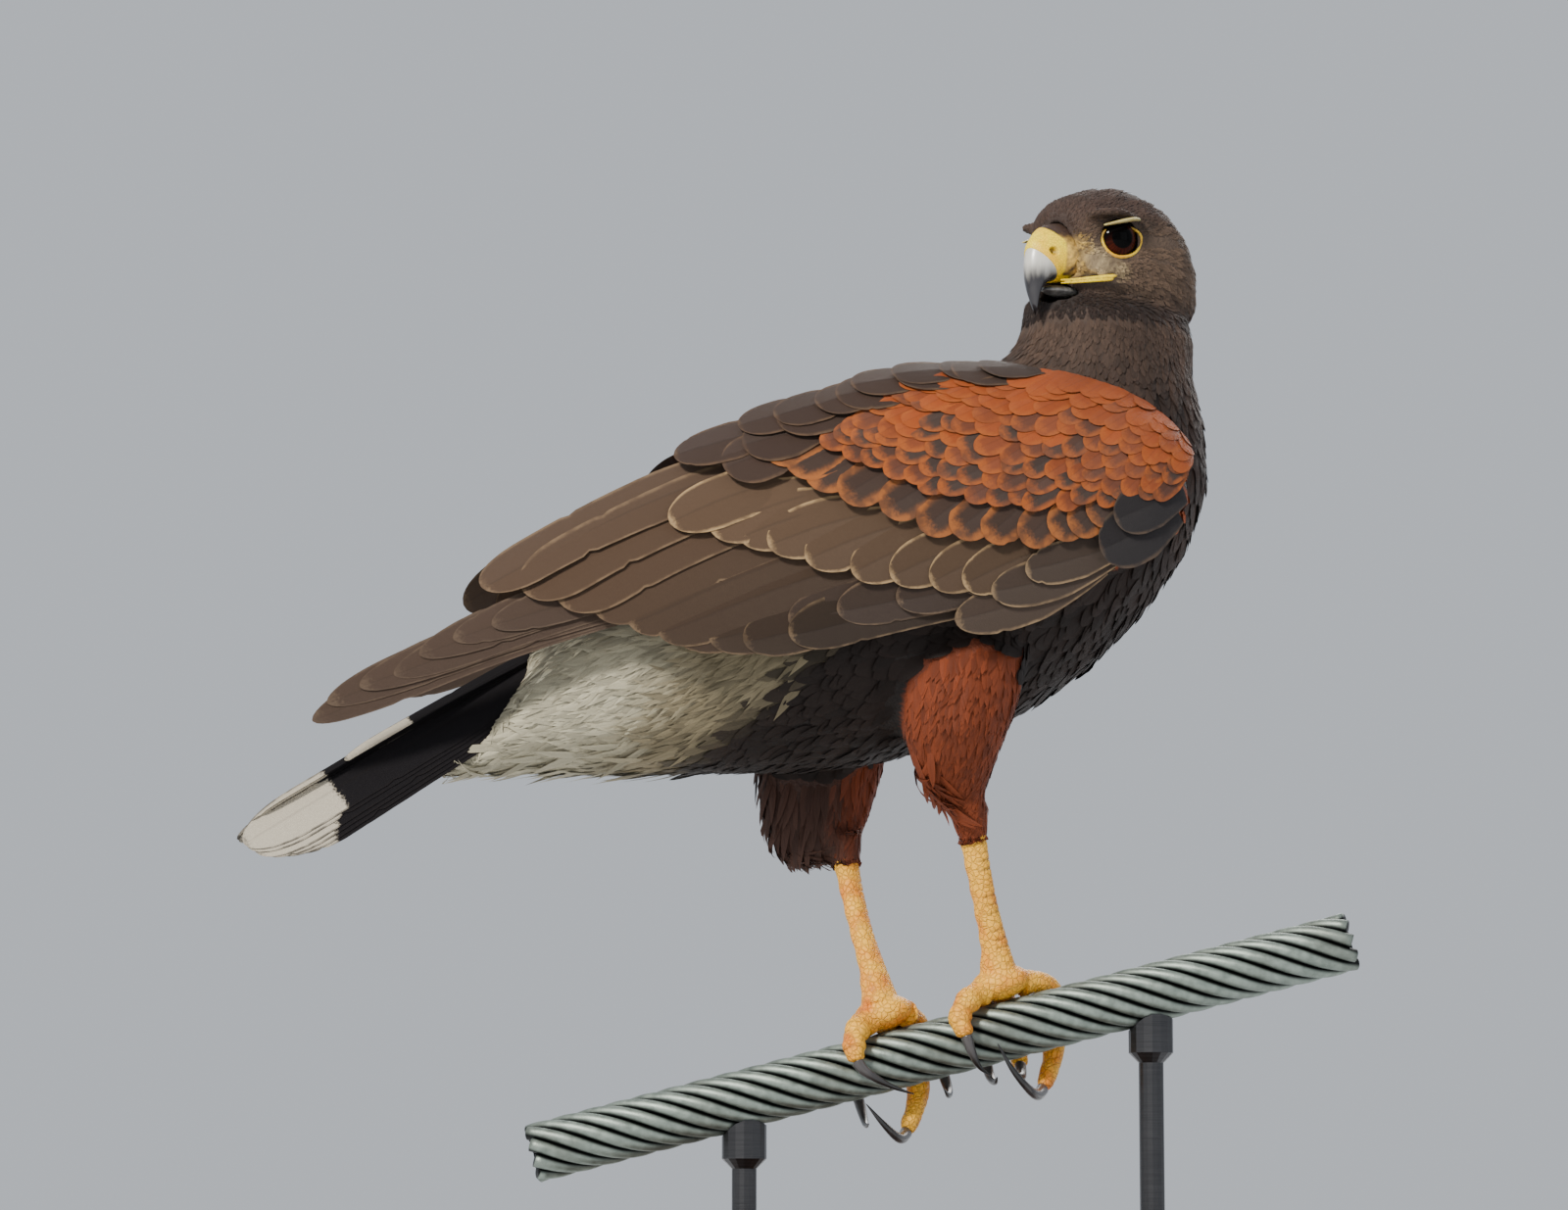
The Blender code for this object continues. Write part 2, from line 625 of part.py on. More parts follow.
def make_head(looks):
    """Makes head, eyes, cere and both halves of the bill, each in its own node."""
    head = head_loft("head")
    lumps = [lid_ring("lid", s) for s in (-1, 1)] + [brow("brow", s) for s in (-1, 1)]
    combine(head, "UNION", lumps + [trunk_loft("throat")])
    holes = [upper_bill("root", FIT_GAP), lower_bill("root", FIT_GAP)]
    holes += [gape("groove", s, FIT_GAP) for s in (-1, 1)]
    holes += [eyeball("socket", s, FIT_GAP) for s in (-1, 1)]
    combine(head, "DIFFERENCE", holes)
    keep_side(head, (0, HEAD_CUT_HEIGHT), (150, HEAD_CUT_HEIGHT), above=True)
    cere = upper_bill("cere")
    combine(cere, "UNION", [gape("lip", s) for s in (-1, 1)])
    combine(cere, "DIFFERENCE", [lower_bill("below", FIT_GAP)])
    horn = upper_bill("bill_upper")
    combine(horn, "DIFFERENCE", [head_half("cere_side", -60.0, CERE_LENGTH + FIT_GAP / 2)])
    combine(cere, "DIFFERENCE", [head_half("horn_side", CERE_LENGTH - FIT_GAP / 2, 90.0)])
    pits = []
    for s in (-1, 1):
        x, z, radius = NOSTRIL
        pits.append(placed_on_head(ball("nostril", (x - 1.5, s * 8.2, z), radius, 6, 8)))
    combine(cere, "DIFFERENCE", pits)
    jaw = lower_bill("bill_lower")
    combine(jaw, "DIFFERENCE", [upper_bill("above", FIT_GAP)])
    dress(head, "head", looks["brown"])
    dress(cere, "cere", looks["yellow"])
    dress(horn, "bill_upper", looks["horn"])
    dress(jaw, "bill_lower", looks["horn"])
    for side, word in ((-1, "right"), (1, "left")):
        dress(eyeball("eye", side), f"eye_{word}", looks["eye"])


# Wings


def wing_depth(x, z):
    """How far the folded wing's outer surface lies from the body's middle plane."""
    top, mid, half = along(WING_X, WING_TOP, x), along(WING_X, WING_MID, x), along(WING_X, WING_HALF, x)
    if z < mid:
        return half - WING_TUCK * (mid - z) ** 2
    rise = min((z - mid) / (top - mid), WING_TOP_LIMIT)
    return half * (1 - rise**WING_ROUND) ** (1 / WING_ROUND)


def wing_point(x, z, lift, side):
    """A point over the wing's surface, and the surface's outward direction there."""
    top, mid = along(WING_X, WING_TOP, x), along(WING_X, WING_MID, x)
    z = min(z, mid + (top - mid) * WING_TOP_LIMIT)
    step = 1.5
    slope_x = (wing_depth(x + step, z) - wing_depth(x - step, z)) / (2 * step)
    slope_z = (wing_depth(x, z + step) - wing_depth(x, z - step)) / (2 * step)
    out = np.array([-slope_x, side, -slope_z])
    out = out / np.linalg.norm(out)
    return np.array([x, side * wing_depth(x, z), z]) + lift * out, out


def vane_outline(share, point):
    """Width of a vane at a share of its length, as a part of its full width."""
    swell = min(1.0, 0.55 + 1.3 * share)
    near_tip = max(0.0, (share - point) / (1 - point))
    return swell * math.sqrt(max(0.0, 1 - near_tip**2.2))


def vane(centres, outs, widths, tilts, thick):
    """A feather's vane: a thin closed blade, as points and faces split alike on both sides."""
    points, faces = [], []
    for i, (centre, out) in enumerate(zip(centres, outs)):
        ahead = centres[min(i + 1, len(centres) - 1)] - centres[max(i - 1, 0)]
        ahead = ahead / np.linalg.norm(ahead)
        across = np.cross(out, ahead)
        across = across / np.linalg.norm(across) * widths[i] / 2
        rise = out * tilts[i] * widths[i] / 2
        half = out * thick / 2
        points += [centre - across - rise + half, centre + across + rise + half]
        points += [centre + across + rise - half, centre - across - rise - half]
    for r in range(len(centres) - 1):
        a, b, c, d = (r * 4 + i for i in range(4))
        e, f, g, h = (r * 4 + 4 + i for i in range(4))
        faces += [(a, b, f), (a, f, e), (d, g, c), (d, h, g)]
        faces += [(b, c, g), (b, g, f), (a, h, d), (a, e, h)]
    last = (len(centres) - 1) * 4
    faces += [(0, 2, 1), (0, 3, 2), (last, last + 1, last + 2), (last, last + 2, last + 3)]
    return points, faces


def wing_feather(name, tip, root, width, bow, lift, rows, side, tilt=TILT, point=0.62):
    """One feather laid on the folded wing from its root to its tip."""
    tip, root = np.asarray(tip, float), np.asarray(root, float)
    run = tip - root
    normal = np.array([-run[1], run[0]]) / np.linalg.norm(run)
    normal = normal if normal[1] > 0 else -normal
    centres, outs, widths, tilts = [], [], [], []
    shares = [1 - (1 - k / (rows - 1)) ** 1.35 for k in range(rows)]
    shares[-1] = 1.0
    for share in shares:
        x, z = root + run * share + normal * bow * 4 * share * (1 - share)
        place, out = wing_point(x, z, lift[1] + (lift[0] - lift[1]) * share**0.8, side)
        centres.append(place)
        outs.append(out)
        widths.append(max(width * vane_outline(min(share, VANE_END), point), VANE_LEAST))
        tilts.append(tilt * -side)
    points, faces = vane(centres, outs, widths, tilts, VANE_THICK)
    return solid(name, points, faces)


def tier(name, spec, side, tilt=TILT, shift=(0.0, 0.0), point=0.62):
    """A row of overlapping feathers between a curve of roots and a curve of tips."""
    count = spec["count"]
    tips, roots = smooth_steps(spec["tips"], count), smooth_steps(spec["roots"], count)
    made = []
    for i in range(count):
        share = i / max(count - 1, 1)
        width = spec["width"][0] + (spec["width"][1] - spec["width"][0]) * share
        bow = spec["bow"][0] + (spec["bow"][1] - spec["bow"][0]) * share
        made.append(wing_feather(
            f"{name}_{i}", tips[i] + np.array(shift), roots[i], width, bow, spec["lift"],
            spec["rows"], side, tilt, point))
    return made


def wing_core(name, side):
    """The arm, the hand and the bases of the feathers, as one closed form on the body's side."""
    rings = []
    for x in np.linspace(CORE_LOW[0][0], CORE_LOW[-1][0], CORE_RINGS):
        low, high = along(*zip(*CORE_LOW), x), along(*zip(*CORE_HIGH), x)
        outer, inner = [], []
        for k in range(CORE_LEVELS):
            share = k / (CORE_LEVELS - 1)
            bevel = CORE_BEVELS[0] * max(0.0, 1 - share * 5) + CORE_BEVELS[1] * max(0.0, share * 7 - 6)
            place, _ = wing_point(x, low + (high - low) * share, -CORE_DEPTH - bevel, side)
            place[1] = side * max(abs(place[1]), CORE_INNER + 2)
            outer.append(place)
            if k in (0, CORE_LEVELS // 2, CORE_LEVELS - 1):
                deep = max(abs(place[1]) - CORE_INSET, CORE_INNER)
                inner.append(np.array([place[0], side * deep, place[2] - 4 * share]))
        rings.append(np.array(outer + inner[::-1]))
    ends = [ring.mean(axis=0) for ring in (rings[0], rings[-1])]
    return loft(name, rings, ends[0] - (3, 0, 0), ends[1] + (3, 0, 0))


def other_side(name, side):
    """A cutter that fills the space beyond the body's middle plane, less half the fitting gap."""
    far = 2 * CUTTER_REACH
    points = [(x, -side * y, z) for x in (-far, far) for y in (-FIT_GAP / 2, far) for z in (-far, far)]
    faces = ((0, 1, 3, 2), (4, 6, 7, 5), (0, 4, 5, 1), (2, 3, 7, 6), (0, 2, 6, 4), (1, 5, 7, 3))
    return solid(name, points, faces)


def make_wing(side, word, looks):
    """A folded wing with its tiers of feathers, cut to fit the trunk."""
    wing = wing_core("wing", side)
    feathers = []
    tuck = FAR_WING_TUCK if side > 0 else 0.0
    feathers += tier("primary", PRIMARIES, side, 0.05, (tuck, tuck * 0.36), 0.72)
    feathers += tier("secondary", SECONDARIES, side, point=0.86)
    feathers += tier("greater", GREATER_COVERTS, side)
    feathers += tier("primary_covert", PRIMARY_COVERTS, side, 0.10)
    feathers += tier("median", MEDIAN_COVERTS, side)
    feathers += tier("lesser", LESSER_COVERTS, side, 0.10)
    feathers += tier("alula", ALULA, side, 0.06)
    feathers += tier("scapular", SCAPULARS, side, 0.10)
    combine(wing, "UNION", feathers, "MANIFOLD")
    combine(wing, "DIFFERENCE", [trunk_loft("trunk_room", FIT_GAP), other_side("other", side)], "MANIFOLD")
    dress(wing, f"wing_{word}", looks["rufous"])


# Tail and undertail


def make_tail(looks):
    """Twelve tail feathers stacked from the middle pair down, rooted in the tail coverts."""
    base, tip = np.array(TAIL_BASE), np.array(TAIL_TIP)
    length = np.linalg.norm(tip - base)
    ahead = (tip - base) / length
    turn = np.array(Matrix.Rotation(-TAIL_ROLL, 3, [float(c) for c in ahead]))
    across = turn @ np.array([0.0, 1.0, 0.0])
    over = np.cross(across, ahead)
    over = over if over[2] > 0 else -over
    feathers = []
    for pair in range(TAIL_PAIRS):
        share_out = pair / (TAIL_PAIRS - 1)
        end = length - TAIL_GRADE * share_out**2
        for side in (-1, 1):
            low = TAIL_ROOF * share_out + TAIL_STEP * (2 * pair + (side > 0) - TAIL_PAIRS)
            centres, widths = [], []
            for k in range(5):
                share = 1 - (1 - k / 4) ** 1.3
                fan = side * (pair + 0.4) / TAIL_PAIRS * TAIL_SPREAD * (0.3 + 0.7 * share)
                centres.append(base + ahead * end * share + across * fan - over * low)
                swell = 0.45 + 0.55 * min(1, share * 2)
                widths.append(TAIL_WIDTH * vane_outline(min(share, VANE_END), TAIL_POINT) * swell)
            points, faces = vane(centres, [over] * 5, widths, [0.0] * 5, VANE_THICK)
            feathers.append(solid("rectrix", points, faces))
    path = [base + ahead * place for place, _ in TAIL_COVERTS]
    tail = tube("tail", path, [radius for _, radius in TAIL_COVERTS], 12, flat=1.6)
    combine(tail, "UNION", feathers, "MANIFOLD")
    combine(tail, "DIFFERENCE", [trunk_loft("trunk_room", FIT_GAP)], "MANIFOLD")
    dress(tail, "tail", looks["black"])


def make_torso(looks):
    """The torso with its undertail coverts, parted from the neck by a thin cut."""
    torso = trunk_loft("torso")
    keep_side(torso, *NECK_CUT, above=False)
    coverts = []
    tips, roots = smooth_steps(VENT_TIPS, VENT_ROWS), smooth_steps(VENT_ROOTS, VENT_ROWS)
    for i in range(VENT_ROWS):
        for share in (-0.75, 0.0, 0.75) if i % 2 else (-0.4, 0.4):
            half = VENT_SPREAD[0] + VENT_SPREAD[1] * i
            root = np.array([roots[i][0], share * half, roots[i][1] + (2 + 3 * i) * share**2 + 2])
            tip = np.array([tips[i][0], share * half * 0.8, tips[i][1] + (2 + 3 * i) * share**2])
            out = np.array([-0.25, share * 0.9, -1.0])
            out = out / np.linalg.norm(out)
            centres, outs, widths = [], [], []
            for k in range(4):
                step = k / 3
                bulge = VENT_BULGE * math.sin(math.pi * step * 0.8) * (1 - 0.3 * step)
                centres.append(root + (tip - root) * step + out * bulge)
                outs.append(out)
                widths.append(VENT_WIDTH * max(0.15, vane_outline(min(step, 0.98), 0.4)))
            points, faces = vane(centres, outs, widths, [0.0] * 4, VANE_THICK)
            coverts.append(solid("covert", points, faces))
    combine(torso, "UNION", coverts, "MANIFOLD")
    dress(torso, "torso", looks["brown"])
    neck = trunk_loft("neck")
    combine(neck, "UNION", [head_loft("skull")])
    combine(neck, "DIFFERENCE", [upper_bill("hook_room", FIT_GAP), lower_bill("jaw_room", FIT_GAP)])
    keep_side(neck, *NECK_CUT, above=True)
    keep_side(neck, (0, HEAD_CUT_HEIGHT), (150, HEAD_CUT_HEIGHT), above=False)
    dress(neck, "neck", looks["brown"])


# Legs


def perch_frame():
    """The cable's direction and its upward direction, in the bird's frame."""
    back = np.array(Matrix.Rotation(-BODY_YAW, 3, "Z"))
    ahead = back @ np.array([math.cos(PERCH_SLOPE), 0.0, math.sin(PERCH_SLOPE)])
    over = back @ np.array([-math.sin(PERCH_SLOPE), 0.0, math.cos(PERCH_SLOPE)])
    far = back @ np.array([0.0, 1.0, 0.0])
    return ahead, over, far


def round_perch(steps, start):
    """Points round the cable from (turn, distance, shift) steps, counted from a place along it."""
    ahead, over, far = perch_frame()
    made = []
    for turn, distance, shift in steps:
        angle = math.radians(turn)
        made.append(ahead * (start + shift) + distance * (math.cos(angle) * over + math.sin(angle) * far))
    return np.array(made)


def make_leg(word, stations, shank, looks):
    """A thigh, a shank with its pad, four toes and four claws."""
    thigh = body_loft("thigh", stations, THIGH_SIDES, THIGH_RINGS, ends=(6.0, 2.0))
    path = smooth_steps(shank, SHANK_STEPS)
    radii = smooth_steps(np.array(SHANK_RADII, float)[:, None], SHANK_STEPS)[:, 0]
    start = float(np.asarray(shank[-1]) @ perch_frame()[0])

    def lower(grow):
        leg = tube("shank", path, radii + grow, SHANK_SIDES, flat=SHANK_FLAT)
        centre = round_perch([(0, PERCH_RADIUS + PAD_RADII[2] + FIT_GAP, 0)], start)[0]
        pad = ball("pad", (0, 0, 0), 1.0, 7, 10, pole=(0.0, 0.0, 1.0))
        ahead, over, far = perch_frame()
        axes = np.array([ahead, far, over]) * (np.array(PAD_RADII) + grow)[:, None]
        for corner in pad.data.vertices:
            corner.co = (np.array(corner.co) / MM @ axes + centre) * MM
        return combine(leg, "UNION", [pad])

    leg = lower(0.0)
    combine(leg, "DIFFERENCE", [perch_solid("perch_room", FIT_GAP, in_bird=True)])
    room = tube("room", path, radii + FIT_GAP, SHANK_SIDES, flat=SHANK_FLAT)
    combine(thigh, "DIFFERENCE", [room])
    combine(thigh, "DIFFERENCE", [trunk_loft("trunk_room", FIT_GAP)], "MANIFOLD")
    dress(thigh, f"thigh_{word}", looks["rufous"])
    for toe, (bones, nail) in TOES[word].items():
        steps = round_perch(smooth_steps(bones, TOE_STEPS), start)
        thick = TOE_RADIUS * (TOE_TAPER[0] - TOE_TAPER[1] * np.linspace(0, 1, TOE_STEPS))
        made = tube("toe", steps, thick, TOE_SIDES)
        combine(made, "DIFFERENCE", [lower(FIT_GAP)])
        nail_steps = round_perch(smooth_steps(nail, CLAW_STEPS), start)
        nail_radii = CLAW_RADIUS * (1 - CLAW_TAPER * np.linspace(0, 1, CLAW_STEPS) ** 1.3)
        nail_steps[0] = nail_steps[0] + (nail_steps[1] - nail_steps[0]) * 0.2
        room = tube("room", steps, thick + FIT_GAP, TOE_SIDES)
        claw = tube("claw", nail_steps, nail_radii, CLAW_SIDES)
        combine(claw, "DIFFERENCE", [room])
        dress(made, f"toe_{toe}_{word}", looks["leg"])
        dress(claw, f"claw_{toe}_{word}", looks["claw"])
    dress(leg, f"shank_{word}", looks["leg"])


# Perch and stand


def perch_solid(name, grow=0.0, in_bird=False):
    """The cable as a plain round bar, in the bird's frame or standing over the base."""
    half = PERCH_LENGTH / 2 + grow
    if in_bird:
        ahead, over, far = perch_frame()
        centre = np.zeros(3)
    else:
        ahead = np.array([math.cos(PERCH_SLOPE), 0.0, math.sin(PERCH_SLOPE)])
        over = np.array([-math.sin(PERCH_SLOPE), 0.0, math.cos(PERCH_SLOPE)])
        far = np.array([0.0, 1.0, 0.0])
        centre = np.array([0.0, 0.0, PERCH_HEIGHT])
    turn = np.linspace(0, 2 * math.pi, PERCH_SIDES, endpoint=False)[:, None]
    circle = np.cos(turn) * over + np.sin(turn) * far
    radius = (PERCH_RADIUS + grow) / (math.cos(math.pi / PERCH_SIDES) if grow else 1.0)
    stations = ((-half, PERCH_BEVEL), (-half + 1, 1), (half - 1, 1), (half, PERCH_BEVEL))
    rings = [centre + ahead * place + circle * radius * share for place, share in stations]
    return loft(name, rings, centre - ahead * half, centre + ahead * half)


def make_stand(looks):
    """The cable, two rods with saddles under it, and a flat base with round corners."""
    base = solid("base", *rounded_plate(BASE_LENGTH, BASE_WIDTH, BASE_CORNER, 0.0, BASE_HEIGHT))
    dress(base, "stand_base", looks["wood"], None)
    for place, word in zip(ROD_OFFSETS, ("low", "high")):
        under = PERCH_HEIGHT + place * math.tan(PERCH_SLOPE)
        foot = BASE_HEIGHT + FIT_GAP
        cup = under - PERCH_RADIUS - SADDLE_HEIGHT
        profile = (
            (FLANGE_RADIUS, foot), (FLANGE_RADIUS, foot + FLANGE_HEIGHT),
            (ROD_RADIUS, foot + 2 * FLANGE_HEIGHT), (ROD_RADIUS, cup - SADDLE_NECK),
            (SADDLE_RADIUS, cup), (SADDLE_RADIUS, under),
        )
        rod = turned("rod", place, profile)
        combine(rod, "DIFFERENCE", [perch_solid("perch_room", FIT_GAP)])
        dress(rod, f"stand_rod_{word}", looks["metal"], None)
    dress(perch_solid("perch"), "perch_cable", looks["steel"], None)


def turned(name, place, profile):
    """A round upright part from (radius, height) steps, standing at a place along the base."""
    turn = np.linspace(0, 2 * math.pi, ROD_SIDES, endpoint=False)
    rings = [
        np.stack([place + radius * np.cos(turn), radius * np.sin(turn), np.full(ROD_SIDES, height)], axis=1)
        for radius, height in profile
    ]
    return loft(name, rings, (place, 0, profile[0][1]), (place, 0, profile[-1][1]))


def rounded_plate(length, width, corner, low, high, steps=6):
    """A flat plate with round corners and a small chamfer round its top."""
    outline = []
    for sx, sy, begin in ((1, 1, 0), (-1, 1, 90), (-1, -1, 180), (1, -1, 270)):
        cx, cy = sx * (length / 2 - corner), sy * (width / 2 - corner)
        for k in range(steps + 1):
            a = math.radians(begin + 90 * k / steps)
            outline.append((cx, cy, math.cos(a), math.sin(a)))
    points = []
    for z, inset in ((low, 0.0), (high - EDGE_CHAMFER, 0.0), (high, EDGE_CHAMFER)):
        points += [(cx + (corner - inset) * c, cy + (corner - inset) * s, z) for cx, cy, c, s in outline]
    n = len(outline)
    faces = [tuple(range(n))[::-1], tuple(range(2 * n, 3 * n))]
    for r in range(2):
        for i in range(n):
            j = (i + 1) % n
            faces.append((r * n + i, r * n + j, (r + 1) * n + j, (r + 1) * n + i))
    return points, faces


def dress(made, name, look, parent="hawk"):
    """Names a finished node, gives it its material and puts it in its place."""
    made.name = name
    made.data.name = name
    made.data.materials.clear()
    made.data.materials.append(look)
    made.data.shade_smooth()
    made.data.set_sharp_from_angle(angle=SHARP_ANGLE)
    if parent:
        made.parent = bpy.data.objects[parent]


def main():
    """Builds every node of the model."""
    clear_scene()
    hawk = bpy.data.objects.new("hawk", None)
    bpy.context.scene.collection.objects.link(hawk)
    hawk.location = (0.0, 0.0, PERCH_HEIGHT * MM)
    hawk.rotation_euler = (0.0, 0.0, BODY_YAW)
    looks = {
        "brown": paint("brown_plumage", (0.075, 0.05, 0.04), 0.75),
        "rufous": paint("rufous_plumage", (0.32, 0.11, 0.045), 0.75),
        "black": paint("black_plumage", (0.03, 0.027, 0.027), 0.7),
        "yellow": paint("yellow_cere", (0.80, 0.58, 0.06), 0.4),
        "horn": paint("grey_horn", (0.25, 0.27, 0.32), 0.35),
        "eye": paint("brown_eye", (0.05, 0.02, 0.012), 0.05),
        "leg": paint("yellow_leg", (0.78, 0.45, 0.14), 0.5),
        "claw": paint("black_claw", (0.03, 0.028, 0.03), 0.3),
        "steel": paint("zinc_steel", (0.35, 0.38, 0.36), 0.45, 0.8),
        "metal": paint("dark_metal", (0.08, 0.08, 0.085), 0.35, 0.9),
        "wood": paint("dark_wood", (0.09, 0.045, 0.022), 0.45),
    }
    make_stand(looks)
    make_torso(looks)
    make_head(looks)
    make_tail(looks)
    for side, word in ((-1, "right"), (1, "left")):
        make_wing(side, word, looks)
    make_leg("right", NEAR_THIGH, NEAR_SHANK, looks)
    make_leg("left", FAR_THIGH, FAR_SHANK, looks)


main()
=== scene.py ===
"""Looks of a life-size museum model of a Harris's hawk that stands on a length of steel cable.

Sizes are in millimetres in the bird's own frame: +X towards the chest, +Y to its left, +Z up, with the
origin on the cable's axis between the feet. Meshes are made in metres in the frame of the display base.
"""

import logging
import math
from dataclasses import dataclass, field
from enum import Enum

import bpy
import numpy as np
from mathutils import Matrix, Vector
from mathutils.bvhtree import BVHTree
from mathutils.kdtree import KDTree


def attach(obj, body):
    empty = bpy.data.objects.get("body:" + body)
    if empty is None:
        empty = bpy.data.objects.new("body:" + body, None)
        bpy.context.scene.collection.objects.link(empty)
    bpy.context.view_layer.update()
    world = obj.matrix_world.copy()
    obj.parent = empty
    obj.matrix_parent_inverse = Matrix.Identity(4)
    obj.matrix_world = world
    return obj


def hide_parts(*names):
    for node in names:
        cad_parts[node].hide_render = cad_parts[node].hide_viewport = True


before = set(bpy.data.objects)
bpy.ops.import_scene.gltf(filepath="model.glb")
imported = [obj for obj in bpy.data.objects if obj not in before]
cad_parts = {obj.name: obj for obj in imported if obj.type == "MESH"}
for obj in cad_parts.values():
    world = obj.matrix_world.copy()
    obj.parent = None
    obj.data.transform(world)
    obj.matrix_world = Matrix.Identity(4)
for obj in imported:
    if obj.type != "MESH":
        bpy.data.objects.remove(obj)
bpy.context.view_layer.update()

log = logging.getLogger("hawk")
Array = np.ndarray
Socket = bpy.types.NodeSocket
Thing = bpy.types.Object

MM = 0.001
SEED = 7
SIDES = {"right": -1, "left": 1}
EVEN_OUT = (0.5, -0.52)


def smoothstep(low: float, high: float, value: Array) -> Array:
    """Eased share of the way from low to high."""
    share = np.clip((np.asarray(value, float) - low) / (high - low), 0.0, 1.0)
    return share * share * (3.0 - 2.0 * share)


def unit(vectors: Array) -> Array:
    """The same directions at length one."""
    return vectors / np.maximum(np.linalg.norm(vectors, axis=-1, keepdims=True), 1e-9)


def dot(first: Array, second: Array) -> Array:
    """Dot products of rows, kept as a column."""
    return (first * second).sum(axis=-1, keepdims=True)


def column(span: tuple, value: Array) -> Array:
    """Eased shares of the way through a span, as a column."""
    return smoothstep(*span, value)[:, None]


def blend(first: Array, second: Array, share: Array) -> Array:
    """A mix of two values or colours."""
    return first * (1 - share) + second * share


def full_turn(sides: int) -> Array:
    """Even angles round a circle."""
    return np.linspace(0, 2 * math.pi, sides, endpoint=False)


def hermite(t: Array, ends: tuple, slopes: tuple, step: Array | float = 1.0) -> Array:
    """A smooth curve from one knot to the next.

    Args:
        t: Share of the way.
        ends: Values at the two knots.
        slopes: Slopes at the two knots.
        step: Distance between the knots.

    Returns:
        The curve's values.
    """
    return (
        (2 * t**3 - 3 * t**2 + 1) * ends[0] + (t**3 - 2 * t**2 + t) * step * slopes[0]
        + (3 * t**2 - 2 * t**3) * ends[1] + (t**3 - t**2) * step * slopes[1]
    )


def spline(knots: Array, count: int) -> Array:
    """Evenly spaced places on a smooth curve.

    Args:
        knots: Rows of values that the curve passes through.
        count: How many places to return.

    Returns:
        The places as rows.
    """
    knots = np.asarray(knots, float)
    slopes = np.gradient(knots, axis=0)
    where = np.linspace(0, len(knots) - 1, count)
    first = np.minimum(where.astype(int), len(knots) - 2)
    t = (where - first).reshape((-1,) + (1,) * (knots.ndim - 1))
    return hermite(t, (knots[first], knots[first + 1]), (slopes[first], slopes[first + 1]))


def read(xs: tuple, ys: tuple, x: Array) -> Array:
    """Heights of a smooth curve.

    Args:
        xs: Places of the knots, rising.
        ys: Heights of the knots.
        x: Places to read.

    Returns:
        The curve's heights at those places.
    """
    xs, ys = np.asarray(xs, float), np.asarray(ys, float)
    slopes = np.gradient(ys, xs)
    i = np.clip(np.searchsorted(xs, x) - 1, 0, len(xs) - 2)
    step = xs[i + 1] - xs[i]
    t = np.clip((x - xs[i]) / step, 0.0, 1.0)
    return hermite(t, (ys[i], ys[i + 1]), (slopes[i], slopes[i + 1]), step)


def tint(red: float, green: float, blue: float, alpha: float = 1.0) -> Array:
    """A screen colour (0 to 255) as the light it stands for, with a strength."""
    value = np.array([red, green, blue]) / 255.0
    return np.append(np.where(value <= 0.04045, value / 12.92, ((value + 0.055) / 1.055) ** 2.4), alpha)


def ripple(points: Array, scale: float, seed: int = 0) -> Array:
    """Smooth uneven values, about -1 to 1, that depend on place alone.

    Args:
        points: Places, as rows.
        scale: Rough distance between high spots.
        seed: Picks the pattern.

    Returns:
        One value for each place.
    """
    turn = np.random.default_rng(seed).normal(size=(5, 3))
    phase = np.random.default_rng(seed + 1).uniform(0, 2 * math.pi, 5)
    return np.sin(points @ turn.T * (2.4 / scale) + phase).mean(axis=-1) * 1.5


@dataclass(frozen=True)
class Stance:
    """Where the bird's frame stands over the base."""

    yaw: float = math.radians(12.0)
    height: float = 122.0

    def turn(self) -> Array:
        """The turn from the bird's frame to the base's."""
        c, s = math.cos(self.yaw), math.sin(self.yaw)
        return np.array([[c, -s, 0.0], [s, c, 0.0], [0.0, 0.0, 1.0]])

    def to_base(self, points: Array) -> Array:
        """Places in the bird's frame, as metres over the base."""
        return (np.asarray(points, float) @ self.turn().T + (0.0, 0.0, self.height)) * MM

    def to_bird(self, points: Array) -> Array:
        """Metres over the base, as places in the bird's frame."""
        return (np.asarray(points, float) / MM - (0.0, 0.0, self.height)) @ self.turn()


STANCE = Stance()


@dataclass(frozen=True)
class Perch:
    """Where the cable runs, in the frame of the base."""

    radius: float = 12.0
    slope: float = math.radians(14.5)

    def axes(self) -> tuple[Array, Array, Array]:
        """Directions along the cable, over it and to its far side."""
        c, s = math.cos(self.slope), math.sin(self.slope)
        return np.array([c, 0.0, s]), np.array([-s, 0.0, c]), np.array([0.0, 1.0, 0.0])


PERCH = Perch()


def mesh_object(name: str, points: Array, faces: Array, in_base: bool = False) -> Thing:
    """A smooth mesh from arrays.

    Args:
        name: The piece's name.
        points: Corners in millimetres, as rows.
        faces: Corner numbers, four to a row, or a list of mixed faces.
        in_base: Whether the points are in the base's frame and not the bird's.

    Returns:
        The new object.
    """
    mesh = bpy.data.meshes.new(name)
    placed = np.asarray(points, float) * MM if in_base else STANCE.to_base(points)
    if isinstance(faces, np.ndarray):
        mesh.vertices.add(len(placed))
        mesh.vertices.foreach_set("co", placed.ravel())
        mesh.loops.add(faces.size)
        mesh.loops.foreach_set("vertex_index", faces.ravel().astype(np.int32))
        mesh.polygons.add(len(faces))
        mesh.polygons.foreach_set("loop_start", np.arange(0, faces.size, faces.shape[1], dtype=np.int32))
        mesh.update(calc_edges=True)
    else:
        mesh.from_pydata(placed.tolist(), [], faces)
        mesh.update()
    mesh.shade_smooth()
    made = bpy.data.objects.new(name, mesh)
    bpy.context.scene.collection.objects.link(made)
    return made


